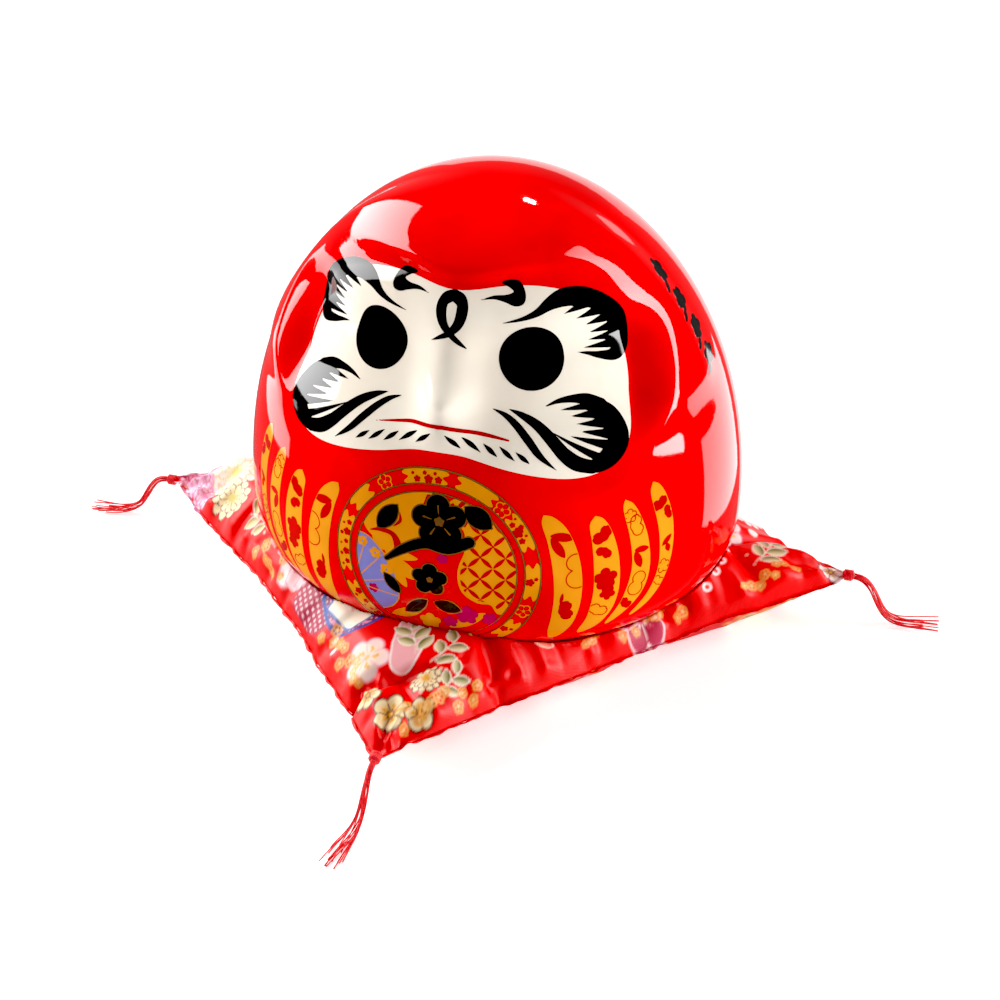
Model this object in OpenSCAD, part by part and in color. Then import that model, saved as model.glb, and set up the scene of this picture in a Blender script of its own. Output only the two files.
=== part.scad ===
// Glazed porcelain daruma doll, a hollow slip-cast coin bank with a stopper in its base, sitting on
// a square padded cushion with a thread tassel at each corner.
// Millimetres. +Z is up and the doll faces -Y. The origin is on the standing surface, under the
// middle of the cushion, whose corners point along the X and Y axes.

/* [Doll] */
// Widest width of the doll, from side to side
doll_w = 140; // [120:1:150]
// Depth of the doll from front to back, as a share of its width
doll_depth_share = 0.88; // [0.8:0.01:1]
// Height of the doll from its foot to its crown
doll_h = 122; // [110:1:130]
// Height of the widest level above the foot
widest_z = 28; // [24:1:36]
// Fullness of the upper body, 2 for an ellipse and more for a squarer curve
crown_power = 2.03; // [1.9:0.01:2.6]
// Fullness of the belly under the widest level
belly_power = 2.76; // [2.2:0.01:3.2]
// Thickness of the porcelain wall
wall = 5; // [4:0.5:6]

/* [Face] */
// Half of the width of the white face panel
face_half_w = 47.5; // [44:0.5:48]
// Half of the height of the face panel
face_half_h = 21; // [18:0.5:22]
// Height of the middle of the face panel above the foot
face_z = 88.5; // [85:0.5:90]
// How far the outer ends of the face panel drop
face_drop = 12; // [8:0.5:14]
// How far the panel's upper and lower edges close in at the middle
face_pinch = 2.6; // [0:0.1:4]
// Depth of the panel beside the nose
face_depth = 5.5; // [3:0.5:6]
// How far the brow stands out over the middle of the face
brow_out = 10; // [4:0.5:11]
// How far the hood's rim stands out at the sides of the face
rim_out = 1.5; // [0:0.1:3]
// Distance over which the hood and face die out towards the middle of the head, mm
relief_fade = 12; // [6:1:20]

/* [Base and coin slot] */
// Depth of the hollow inside the foot ring
foot_recess = 2.5; // [2:0.1:3]
// Inner radius of the foot ring
foot_ring_r = 24; // [20:0.5:26]
// Radius of the round hole that the stopper closes
hole_r = 13; // [10:0.5:15]
// Gap between the stopper and the hole, on the radius
stopper_gap = 0.05; // [0.02:0.01:0.1]
// Length of the coin slot
slot_len = 36; // [30:1:40]
// Width of the coin slot
slot_w = 5; // [4.5:0.1:6]

/* [Cushion] */
// Length of each seamed side, from corner to corner
cushion_side = 144; // [136:1:156]
// How far the middle of each side pulls in, as a share of half the side
side_pull = 0.05; // [0:0.01:0.1]
// Height of the seam at the middle of a side
seam_side_z = 9; // [7:0.5:11]
// Height of the seam at the corners
seam_corner_z = 14; // [11:0.5:16]
// How far the top rises over the seam
cushion_rise = 12.5; // [10:0.5:16]
// Height of the doll's foot over the standing surface, where the filling is pressed flat
seat_z = 7.5; // [6:0.5:9]
// Thickness of each fabric panel
cloth_t = 0.8; // [0.6:0.1:1]

/* [Tassels] */
// Diameter of the bundle of threads
tassel_d = 2.4; // [2:0.1:2.6]
// Radius of the bound knot at each corner
knot_r = 1.7; // [1.5:0.1:2.2]
// Length of the bound knot
knot_len = 3; // [2.5:0.5:4]

/* [Hidden] */

// The directions in which the cushion's corners point
FRONT = -90;
RIGHT = 0;
BACK = 90;
LEFT = 180;

body_half_w = doll_w / 2;
foot_cut = 1.3;                     // height that the flat foot cuts off the belly's curve
belly_h = widest_z + foot_cut;
crown_h = doll_h - widest_z;
around = 64;                        // facets around the outside
around_inside = 40;
belly_rings = 9;
crown_rings = 25;
base_t = 4;                         // porcelain over the foot recess
cavity_z = foot_recess + base_t;

// ---- The doll's outside. Heights are measured from the foot. ----

function ramp(a, b, v) = let (t = min(1, max(0, (v - a) / (b - a)))) t * t * (3 - 2 * t);
function bell(v) = exp(-v * v);

// The face panel's outline in front view: its middle line and its half height at x
function face_mid(x) = face_z - face_drop * pow(x / face_half_w, 2);
function face_half(x) =
    face_half_h * sqrt(max(0, 1 - pow(abs(x) / face_half_w, 5.4))) - face_pinch * bell(x / 13);
face_steps = 28;
face_edge = concat(
    [for (i = [0:face_steps - 1]) let (x = face_half_w * sin(-90 + 180 * i / face_steps))
        [x, face_mid(x) + face_half(x)]],
    [for (i = [0:face_steps - 1]) let (x = face_half_w * sin(90 - 180 * i / face_steps))
        [x, face_mid(x) - face_half(x)]]);
function to_segment(p, a, b) =
    let (t = min(1, max(0, (p - a) * (b - a) / ((b - a) * (b - a)))))
    norm(p - a - t * (b - a));
function in_face(x, z) = abs(x) < face_half_w && abs(z - face_mid(x)) < face_half(x);
// Distance from the face panel's outline, negative inside it
function face_dist(x, z) =
    (in_face(x, z) ? -1 : 1)
    * min([for (i = [0:len(face_edge) - 1])
        to_segment([x, z], face_edge[i], face_edge[(i + 1) % len(face_edge)])]);

// How far the panel stands out from the plain body: it lies back beside the nose, comes forward
// along the middle and under the brow, and meets the body at its lower edge
function panel_out(x, z) =
    -1 - (face_depth - 1) * ramp(67, 80, z)
    + face_depth * bell(x / 8) * ramp(66, 76, z) * (1 - 0.6 * ramp(90, 104, z))
    + 7.5 * ramp(90, 105, z)
    + 3 * bell(x / 5.5) * bell((z - 82) / 4);
// How far the hood stands out from the plain body around the panel
function hood_out(x, z, d) =
    (rim_out * ramp(66, 78, z) + (brow_out - rim_out) * ramp(88, 106, z) * bell(x / 30))
    * (d < 7 ? 1 : bell((d - 7) / 7));
function sculpt(x, z) =
    let (d = face_dist(x, z))
    d > 24 ? 0
    : d <= 0 ? panel_out(x, z)
    : let (s = ramp(0, 6, d)) panel_out(x, z) * (1 - s) + hood_out(x, z, d) * s;

// One ring of the plain body for a half width, a crown height and a belly depth; t runs from -1
// at the foot over 0 at the widest level to 1 at the crown
function plain_r(t, half_w) =
    half_w * pow(max(0, cos(90 * abs(t))), 2 / (t < 0 ? belly_power : crown_power));
function plain_z(t, up, down) =
    widest_z + (t < 0 ? -down * pow(sin(-90 * t), 2 / belly_power)
        : up * pow(sin(90 * t), 2 / crown_power));
// The t at which the belly's curve reaches a height
function t_at(z, down) = -asin(pow((widest_z - z) / down, belly_power / 2)) / 90;

// The body as a closed skin. inset thins it all round, for the hollow inside.
module body_skin(n, lower, upper, inset, floor_z) {
    down = belly_h - inset;
    up = crown_h - inset;
    t0 = t_at(floor_z, down);
    ts = concat([for (i = [0:lower - 1]) t0 * (1 - i / lower)], [for (i = [0:upper - 1]) i / upper]);
    rings = [for (t = ts) let (r = plain_r(t, body_half_w - inset), z = plain_z(t, up, down))
        [for (k = [0:n - 1]) let (
            a = 360 * k / n,
            x = r * sin(a),
            out = cos(a) > 0 ? sculpt(x, z) * ramp(0, relief_fade, r * cos(a)) : 0,
            rr = r + (inset > 0 ? min(0, out) : out))
            [rr * sin(a), -doll_depth_share * rr * cos(a), z]]];
    pts = concat([for (ring = rings) each ring],
        [[0, 0, plain_z(t0, up, down)], [0, 0, widest_z + up]]);
    last = len(ts) - 1;
    low = n * (last + 1);
    faces = concat(
        [for (i = [0:last - 1], k = [0:n - 1]) let (m = (k + 1) % n)
            each [[i * n + k, (i + 1) * n + k, i * n + m],
                [i * n + m, (i + 1) * n + k, (i + 1) * n + m]]],
        [for (k = [0:n - 1]) [k, (k + 1) % n, low]],
        [for (k = [0:n - 1]) [last * n + (k + 1) % n, last * n + k, low + 1]]);
    polyhedron(points = pts, faces = faces, convexity = 6);
}

slot_y = 30;                        // the slot runs across the back of the head
slot_floor = 92;
slot_top = 130;
module coin_slot() {
    straight = slot_len - slot_w;
    translate([-straight / 2, slot_y - slot_w / 2, slot_floor])
        cube([straight, slot_w, slot_top - slot_floor]);
    for (side = [-1, 1])
        translate([side * straight / 2, slot_y, slot_floor])
            cylinder(d = slot_w, h = slot_top - slot_floor, $fn = 32);
}

module doll_shell() {
    color("red") translate([0, 0, seat_z]) difference() {
        body_skin(around, belly_rings, crown_rings, 0, 0);
        body_skin(around_inside, 6, 14, wall, cavity_z);
        translate([0, 0, -1]) cylinder(r = foot_ring_r, h = foot_recess + 1, $fn = 96);
        translate([0, 0, -1]) cylinder(r = hole_r, h = cavity_z + 3, $fn = 96);
        coin_slot();
    }
}

// A soft plastic stopper: a thin flange in the foot recess and a hollow plug in the hole
flange_t = 1.3;
flange_gap = 0.2;
flange_over = 2.5;
plug_wall = 2;
module base_stopper() {
    plug_r = hole_r - stopper_gap;
    flange_top = foot_recess - flange_gap;
    plug_top = cavity_z + 1;
    color("ivory") translate([0, 0, seat_z]) rotate_extrude($fn = 96) polygon([
        [0, flange_top - flange_t],
        [hole_r + flange_over, flange_top - flange_t],
        [hole_r + flange_over, flange_top],
        [plug_r, flange_top],
        [plug_r, plug_top - 1],
        [plug_r - 0.8, plug_top],
        [plug_r - plug_wall, plug_top],
        [plug_r - plug_wall, flange_top + 0.5],
        [0, flange_top + 0.5]]);
}

// ---- The cushion. u and v run from -1 to 1 across it, and its own axes are turned by 45. ----

cloth_steps = 20;
dent_gap = 0.9;                     // room between the pressed cloth and the doll
flat_share = 0.55;                  // share of the underside that lies flat
half_side = cushion_side / 2;
corner_r = half_side * sqrt(2);
function plan(u, v) = [
    half_side * u * (1 - side_pull * u * u * (1 - v * v)),
    half_side * v * (1 - side_pull * v * v * (1 - u * u))];
function turned(p) = [(p[0] - p[1]) / sqrt(2), (p[0] + p[1]) / sqrt(2)];
function seam_z(u, v) = seam_side_z + (seam_corner_z - seam_side_z) * u * u * v * v;
function under_z(u, v) =
    let (m = max(abs(u), abs(v)), g = max(0, (m - flat_share) / (1 - flat_share)))
    g * g * (seam_z(u, v) - cloth_t);
// Height of the doll's underside over a point, and nothing outside the doll
function belly_over(p) =
    let (rho = norm([p[0], p[1] / doll_depth_share]) / body_half_w)
    rho >= 1 ? 1000
    : seat_z + max(0, widest_z - belly_h * pow(1 - pow(rho, belly_power), 1 / belly_power));
function over_z(u, v) = min(
    seam_z(u, v) + cloth_t + cushion_rise * pow(max(0, (1 - pow(u, 4)) * (1 - pow(v, 4))), 0.55),
    belly_over(turned(plan(u, v))) - dent_gap);

// A closed sheet over the grid, less a margin of cells all round. low and high are the heights
// of its two faces, in rows of grid points.
function grid(i) = 2 * i / cloth_steps - 1;
module sheet(low, high, margin) {
    n = cloth_steps - 2 * margin;
    row = n + 1;
    top = row * row;
    rim = concat([for (i = [0:n - 1]) i], [for (j = [0:n - 1]) j * row + n],
        [for (i = [n:-1:1]) n * row + i], [for (j = [n:-1:1]) j * row]);
    function face_points(z) = [for (j = [0:n], i = [0:n])
        let (p = turned(plan(grid(i + margin), grid(j + margin))))
        [p[0], p[1], z[j + margin][i + margin]]];
    polyhedron(convexity = 8, points = concat(face_points(low), face_points(high)),
        faces = concat(
            [for (j = [0:n - 1], i = [0:n - 1]) let (a = j * row + i, b = a + row)
                each [[a, a + 1, b + 1], [a, b + 1, b], [top + a, top + b + 1, top + a + 1],
                    [top + a, top + b, top + b + 1]]],
            [for (k = [0:len(rim) - 1]) let (a = rim[k], b = rim[(k + 1) % len(rim)])
                each [[b, a, top + a], [b, top + a, top + b]]]));
}
function upper_face(lift) =
    [for (j = [0:cloth_steps]) [for (i = [0:cloth_steps]) over_z(grid(i), grid(j)) + lift]];
function lower_face(lift) =
    [for (j = [0:cloth_steps]) [for (i = [0:cloth_steps]) under_z(grid(i), grid(j)) + lift]];

fill_gap = 0.03;
module cushion_top_panel() {
    color("crimson") sheet(upper_face(-cloth_t), upper_face(0), 0);
}
module cushion_bottom_panel() {
    color("firebrick") sheet(lower_face(0), lower_face(cloth_t), 0);
}
// The filling stops one cell short of the seams
module cushion_filling() {
    color("whitesmoke")
        sheet(lower_face(cloth_t + fill_gap), upper_face(-cloth_t - fill_gap), 1);
}

// ---- The knots and tassels at the corners ----

knot_in = 1.2;                      // how far the knot holds the corner's tip
knot_z = seam_corner_z + 0.2;
knot_end = corner_r - knot_in + knot_len;
module corner_knot(angle) {
    color("darkred") rotate([0, 0, angle]) translate([corner_r - knot_in, 0, knot_z])
        rotate([0, 90, 0]) rotate_extrude($fn = 48) polygon([
            [0, 0], [knot_r - 0.5, 0], [knot_r, 0.6], [knot_r, knot_len - 0.6],
            [knot_r - 0.5, knot_len], [0, knot_len]]);
}
module corner_knot_front() { corner_knot(FRONT); }
module corner_knot_right() { corner_knot(RIGHT); }
module corner_knot_back() { corner_knot(BACK); }
module corner_knot_left() { corner_knot(LEFT); }

// Each tassel leaves its knot level, drops to the standing surface and lies along it. A row is
// how far out from the knot, how much of the sway, and the height.
tassel_route = [[0, 0, 14.2], [2.2, 0, 13.8], [4, 0.02, 12.6], [5.6, 0.05, 10.6], [7, 0.1, 8.2],
    [8.4, 0.16, 5.8], [10.2, 0.26, 3.6], [12.6, 0.4, 2.2], [15.6, 0.58, 1.5], [19, 0.78, 1.27],
    [25, 1, 1.25]];
function route_points(sway) =
    [for (p = tassel_route) [knot_end + p[0], sway * p[1], p[2]]];
module tassel(angle, sway) {
    sides = 8;
    path = route_points(sway);
    last = len(path) - 1;
    rings = [for (i = [0:last]) let (
        ahead = path[min(last, i + 1)] - path[max(0, i - 1)],
        dir = i == 0 ? [1, 0, 0] : ahead / norm(ahead),
        side = cross([0, 0, 1], dir) / norm(cross([0, 0, 1], dir)),
        up = cross(dir, side))
        [for (k = [0:sides - 1]) let (a = 360 * (k + 0.5) / sides)
            path[i] + tassel_d / 2 * (side * cos(a) + up * sin(a))]];
    color("tomato") rotate([0, 0, angle]) polyhedron(convexity = 4,
        points = [for (ring = rings) each ring],
        faces = concat(
            [for (i = [0:last - 1], k = [0:sides - 1]) let (m = (k + 1) % sides)
                each [[i * sides + k, (i + 1) * sides + k, i * sides + m],
                    [i * sides + m, (i + 1) * sides + k, (i + 1) * sides + m]]],
            [[for (k = [0:sides - 1]) k]],
            [[for (k = [sides - 1:-1:0]) last * sides + k]]));
}
module tassel_front() { tassel(FRONT, -4.5); }
module tassel_right() { tassel(RIGHT, 4.5); }
module tassel_back() { tassel(BACK, 3); }
module tassel_left() { tassel(LEFT, 2); }

doll_shell();
base_stopper();
cushion_top_panel();
cushion_bottom_panel();
cushion_filling();
corner_knot_front();
corner_knot_right();
corner_knot_back();
corner_knot_left();
tassel_front();
tassel_right();
tassel_back();
tassel_left();
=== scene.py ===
import math

import bmesh
import bpy
import numpy as np
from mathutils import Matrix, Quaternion, Vector


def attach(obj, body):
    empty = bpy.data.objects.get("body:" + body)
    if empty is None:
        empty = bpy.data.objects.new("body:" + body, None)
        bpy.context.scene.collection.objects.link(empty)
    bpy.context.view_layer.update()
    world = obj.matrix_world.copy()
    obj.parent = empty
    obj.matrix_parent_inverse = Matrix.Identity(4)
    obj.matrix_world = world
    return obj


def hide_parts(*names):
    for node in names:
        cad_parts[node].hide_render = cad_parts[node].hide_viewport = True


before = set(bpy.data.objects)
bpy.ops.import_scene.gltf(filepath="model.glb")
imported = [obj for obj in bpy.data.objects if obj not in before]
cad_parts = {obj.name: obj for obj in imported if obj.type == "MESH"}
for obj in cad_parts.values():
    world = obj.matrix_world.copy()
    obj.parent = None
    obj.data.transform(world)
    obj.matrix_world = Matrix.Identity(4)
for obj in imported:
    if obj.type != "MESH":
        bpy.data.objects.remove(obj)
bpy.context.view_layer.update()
MM = 0.001

# ---------------------------------------------------------------- camera
cam_data = bpy.data.cameras.new("camera")
cam = bpy.data.objects.new("camera", cam_data)
bpy.context.scene.collection.objects.link(cam)
cam.location = Vector((127.7, -455.6, 353.8)) * MM
cam.rotation_euler = Vector((-0.22, 0.7917, -0.5699)).to_track_quat("-Z", "Y").to_euler()
cam_data.lens = 71.7
cam_data.sensor_width = 36
cam_data.clip_start = 0.01
cam_data.clip_end = 20
bpy.context.scene.camera = cam


def lane(points, steps):
    """A smooth Catmull-Rom line through points, with steps pieces between each pair."""
    p = np.asarray(points, float)
    p = np.vstack([2 * p[0] - p[1], p, 2 * p[-1] - p[-2]])
    out = []
    for i in range(1, len(p) - 2):
        for t in np.arange(steps) / steps:
            out.append(0.5 * (2 * p[i] + (p[i + 1] - p[i - 1]) * t
                              + (2 * p[i - 1] - 5 * p[i] + 4 * p[i + 1] - p[i + 2]) * t * t
                              + (3 * p[i] - p[i - 1] - 3 * p[i + 1] + p[i + 2]) * t ** 3))
    return np.array(out + [p[-2]])


# ---------------------------------------------------------------- meshes
def piece(name, verts, faces, mats, body, normals=None, sharp=None):
    """A mesh object from points in mm that rides on a CAD body."""
    me = bpy.data.meshes.new(name)
    me.from_pydata((np.asarray(verts, float) * MM).tolist(), [], faces)
    for m in mats:
        me.materials.append(m)
    me.polygons.foreach_set("use_smooth", [True] * len(me.polygons))
    if sharp:
        me.set_sharp_from_angle(angle=math.radians(sharp))
    if normals is not None:
        me.normals_split_custom_set_from_vertices(np.asarray(normals, float).tolist())
    me.update()
    ob = bpy.data.objects.new(name, me)
    bpy.context.scene.collection.objects.link(ob)
    if body:
        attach(ob, body)
    return ob


def ring_faces(rows, n, first=0):
    """Quads between rows of n points each, so that rows going up and points going round face out."""
    out = []
    for i in range(rows - 1):
        a = first + i * n
        for k in range(n):
            m = (k + 1) % n
            out.append((a + k, a + m, a + n + m, a + n + k))
    return out


def tube(path, radii, sides):
    """Points and faces of a closed tube along a path."""
    p = np.asarray(path, float)
    r = np.broadcast_to(np.asarray(radii, float), (len(p),))
    t = np.gradient(p, axis=0)
    t /= np.linalg.norm(t, axis=1)[:, None]
    up = np.array([0, 0, 1.0]) if abs(t[0][2]) < 0.9 else np.array([1.0, 0, 0])
    verts = []
    for i in range(len(p)):
        side = np.cross(t[i], up)
        side /= np.linalg.norm(side)
        up = np.cross(side, t[i])
        a = 2 * np.pi * np.arange(sides) / sides
        verts.append(p[i] + r[i] * (np.outer(np.cos(a), side) + np.outer(np.sin(a), up)))
    n = len(p)
    faces = [tuple(reversed(f)) for f in ring_faces(n, sides)]
    faces.append(tuple(range(sides)))
    faces.append(tuple(reversed(range((n - 1) * sides, n * sides))))
    return np.vstack(verts), faces


def merged(parts):
    verts, faces, at = [], [], 0
    for v, f in parts:
        verts.append(v)
        faces += [tuple(i + at for i in q) for q in f]
        at += len(v)
    return np.vstack(verts), faces


# ---------------------------------------------------------------- materials
def linear(c):
    c = [x / 255 for x in c]
    return [x / 12.92 if x <= 0.04045 else ((x + 0.055) / 1.055) ** 2.4 for x in c] + [1]


class Mat:
    """A small helper round one Principled material."""

    def __init__(self, name, **sockets):
        self.m = bpy.data.materials.new(name)
        self.m.use_nodes = True
        self.t = self.m.node_tree
        self.b = self.t.nodes["Principled BSDF"]
        for k, v in sockets.items():
            self.b.inputs[k.replace("_", " ")].default_value = v

    def node(self, kind, inputs=None, **settings):
        n = self.t.nodes.new(kind)
        for k, v in settings.items():
            setattr(n, k, v)
        for k, v in (inputs or {}).items():
            if hasattr(v, "is_output"):
                self.t.links.new(v, n.inputs[k])
            else:
                n.inputs[k].default_value = v
        return n

    def coords(self):
        return self.node("ShaderNodeTexCoord").outputs["Object"]

    def noise(self, scale, detail=2.0, rough=0.5, vector=None):
        return self.node("ShaderNodeTexNoise", {"Vector": vector or self.coords(), "Scale": scale,
                         "Detail": detail, "Roughness": rough}).outputs["Fac"]

    def ramp(self, fac, stops):
        r = self.node("ShaderNodeValToRGB", {"Fac": fac})
        e = r.color_ramp.elements
        while len(e) < len(stops):
            e.new(0.5)
        for i, (p, c) in enumerate(stops):
            e[i].position = p
            e[i].color = c if len(c) == 4 else list(c) + [1]
        return r.outputs["Color"]

    def mix(self, fac, a, b, kind="MIX"):
        n = self.node("ShaderNodeMix", data_type="RGBA", blend_type=kind)
        for sock, v in ((0, fac), (6, a), (7, b)):
            if hasattr(v, "is_output"):
                self.t.links.new(v, n.inputs[sock])
            else:
                n.inputs[sock].default_value = v
        return n.outputs[2]

    def math(self, op, a, b=0.0):
        return self.node("ShaderNodeMath", {0: a, 1: b}, operation=op).outputs[0]

    def bump(self, height, strength, distance, normal=None):
        ins = {"Height": height, "Strength": strength, "Distance": distance}
        if normal:
            ins["Normal"] = normal
        return self.node("ShaderNodeBump", ins).outputs["Normal"]

    def to(self, socket, value):
        self.t.links.new(value, self.b.inputs[socket])


def glaze(name, colour, deep, rough=0.04, metallic=0.0, coat=0.0):
    """Fired glaze: a clear glossy layer over colour that varies a little, with faint orange peel."""
    m = Mat(name, Roughness=rough, Metallic=metallic, Coat_Weight=coat, Coat_Roughness=0.02, IOR=1.5,
            Specular_IOR_Level=0.5)
    pool = m.noise(38, 3, 0.55)
    m.to("Base Color", m.ramp(pool, [(0.35, linear(deep)), (0.62, linear(colour))]))
    peel = m.noise(260, 2, 0.5)
    m.to("Normal", m.bump(peel, 0.035, 0.0004))
    m.to("Coat Normal", m.bump(peel, 0.02, 0.0004))
    r = m.node("ShaderNodeMapRange", {"Value": m.noise(70, 4, 0.6), "To Min": rough * 0.7,
               "To Max": rough * 1.5})
    m.to("Roughness", r.outputs[0])
    return m.m


RED = glaze("glaze_red", (240, 2, 5), (222, 0, 3))
BISQUE = Mat("bare_porcelain", Roughness=0.7)
BISQUE.to("Base Color", BISQUE.ramp(BISQUE.noise(300, 5, 0.7), [(0.3, linear((222, 214, 200))),
                                                               (0.7, linear((240, 236, 226)))]))
BISQUE.to("Normal", BISQUE.bump(BISQUE.noise(1500, 3, 0.7), 0.25, 0.0002))
IVORY = glaze("glaze_ivory", (244, 236, 222), (238, 227, 211))
INK = glaze("glaze_black", (9, 7, 7), (18, 14, 14), rough=0.05)
LINE_RED = glaze("glaze_line_red", (190, 8, 10), (170, 4, 6))
GOLD = glaze("glaze_gold", (238, 156, 38), (220, 140, 30), rough=0.08)
EDGE = glaze("gold_line", (214, 164, 100), (190, 140, 84), rough=0.22, metallic=0.9, coat=0.4)
MOTIF_RED = glaze("glaze_motif_red", (205, 14, 10), (182, 8, 8))
LILAC = glaze("glaze_lilac", (134, 138, 206), (120, 116, 190))
MAGENTA = glaze("glaze_magenta", (196, 16, 96), (170, 8, 70))

# ---------------------------------------------------------------- the doll's surface, in mm
HALF_W, DEPTH, CROWN_H, BELLY_H, WIDEST, SEAT = 70.0, 0.88, 94.0, 29.3, 28.0, 7.5
CROWN_P, BELLY_P = 2.03, 2.76
FACE_W, FACE_H, FACE_Z, FACE_DROP, FACE_PINCH = 47.5, 21.0, 88.5, 12.0, 2.6
FACE_DEPTH, BROW, RIM, RELIEF_FADE = 5.5, 10.0, 1.5, 12.0
TOP_Z = WIDEST + CROWN_H
WALL = 5.0
SLOT_HALF, SLOT_R, SLOT_Y, SLOT_LOW, SLOT_HIGH, SLOT_SIDES = 15.5, 2.5, 30.0, 92.0, 132.0, 48
# the foot ring, its recess and the edge of the base hole: radius and height over the foot
FOOT = [(24.6, 0), (24.1, 0.15), (24, 0.6), (24, 2.2), (23.7, 2.5), (13.5, 2.5), (13.1, 2.6),
        (13, 3), (13, 6.5)]


def ramp(a, b, v):
    t = np.clip((v - a) / (b - a), 0, 1)
    return t * t * (3 - 2 * t)


def bell(v):
    return np.exp(-v * v)


def face_mid(x):
    return FACE_Z - FACE_DROP * (x / FACE_W) ** 2


def face_half(x):
    return FACE_H * np.sqrt(np.maximum(0, 1 - np.abs(x / FACE_W) ** 5.4)) - FACE_PINCH * bell(x / 13)


_x = FACE_W * np.sin(np.radians(np.linspace(-90, 90, 90)))
FACE_EDGE = np.concatenate([np.stack([_x, face_mid(_x) + face_half(_x)], -1),
                            np.stack([_x, face_mid(_x) - face_half(_x)], -1)[::-1][1:-1]])


def to_line(x, y, pts, closed=False):
    """Distance from each (x, y) to a polyline, and how far along it, in segments."""
    p = np.asarray(pts, float)
    b = np.roll(p, -1, 0) if closed else p[1:]
    a = p if closed else p[:-1]
    best = np.full(x.shape, 1e9)
    along = np.zeros(x.shape)
    for i in range(len(a)):
        d = b[i] - a[i]
        n = max(d @ d, 1e-12)
        t = np.clip(((x - a[i][0]) * d[0] + (y - a[i][1]) * d[1]) / n, 0, 1)
        q = np.hypot(x - a[i][0] - t * d[0], y - a[i][1] - t * d[1])
        m = q < best
        best = np.where(m, q, best)
        along = np.where(m, i + t, along)
    return best, along


def face_dist(x, z):
    d = np.full(x.shape, 99.0)
    near = (np.abs(x) < FACE_W + 30) & (np.abs(z - face_mid(x)) < FACE_H + 36)
    d[near] = to_line(x[near], z[near], FACE_EDGE, True)[0]
    inside = (np.abs(x) < FACE_W) & (np.abs(z - face_mid(x)) < face_half(x))
    return np.where(inside, -d, d)


def panel_out(x, z):
    return (-1 - (FACE_DEPTH - 1) * ramp(67, 80, z)
            + FACE_DEPTH * bell(x / 8) * ramp(66, 76, z) * (1 - 0.6 * ramp(90, 104, z))
            + 7.5 * ramp(90, 105, z) + 3 * bell(x / 5.5) * bell((z - 82) / 4))


def hood_out(x, z, d):
    return ((RIM * ramp(66, 78, z) + (BROW - RIM) * ramp(88, 106, z) * bell(x / 30))
            * np.where(d < 7, 1, bell((d - 7) / 7)))


def sculpt(x, z):
    d = face_dist(x, z)
    s = ramp(0, 6, d)
    return np.where(d > 24, 0, panel_out(x, z) * (1 - s) + hood_out(x, z, np.maximum(d, 0)) * s)


def plain_r(z):
    up = z >= WIDEST
    q = np.where(up, np.abs(z - WIDEST) / CROWN_H, np.abs(WIDEST - z) / BELLY_H)
    p = np.where(up, CROWN_P, BELLY_P)
    return HALF_W * np.maximum(1 - q ** p, 1e-9) ** (1 / p)


def skin(a, z):
    """A point of the glazed surface at azimuth a and height z over the foot."""
    a, z = np.broadcast_arrays(np.asarray(a, float), np.asarray(z, float))
    r = plain_r(z)
    rr = r + np.where(np.cos(a) > 0, sculpt(r * np.sin(a), z), 0) * ramp(0, RELIEF_FADE, r * np.cos(a))
    return np.stack([rr * np.sin(a), -DEPTH * rr * np.cos(a), z + SEAT], -1)


def skin_normal(a, z):
    du = skin(a + 0.004, z) - skin(a - 0.004, z)
    dv = skin(a, z + 0.2) - skin(a, z - 0.2)
    n = np.cross(du, dv)
    return n / np.linalg.norm(n, axis=-1)[..., None]


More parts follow.
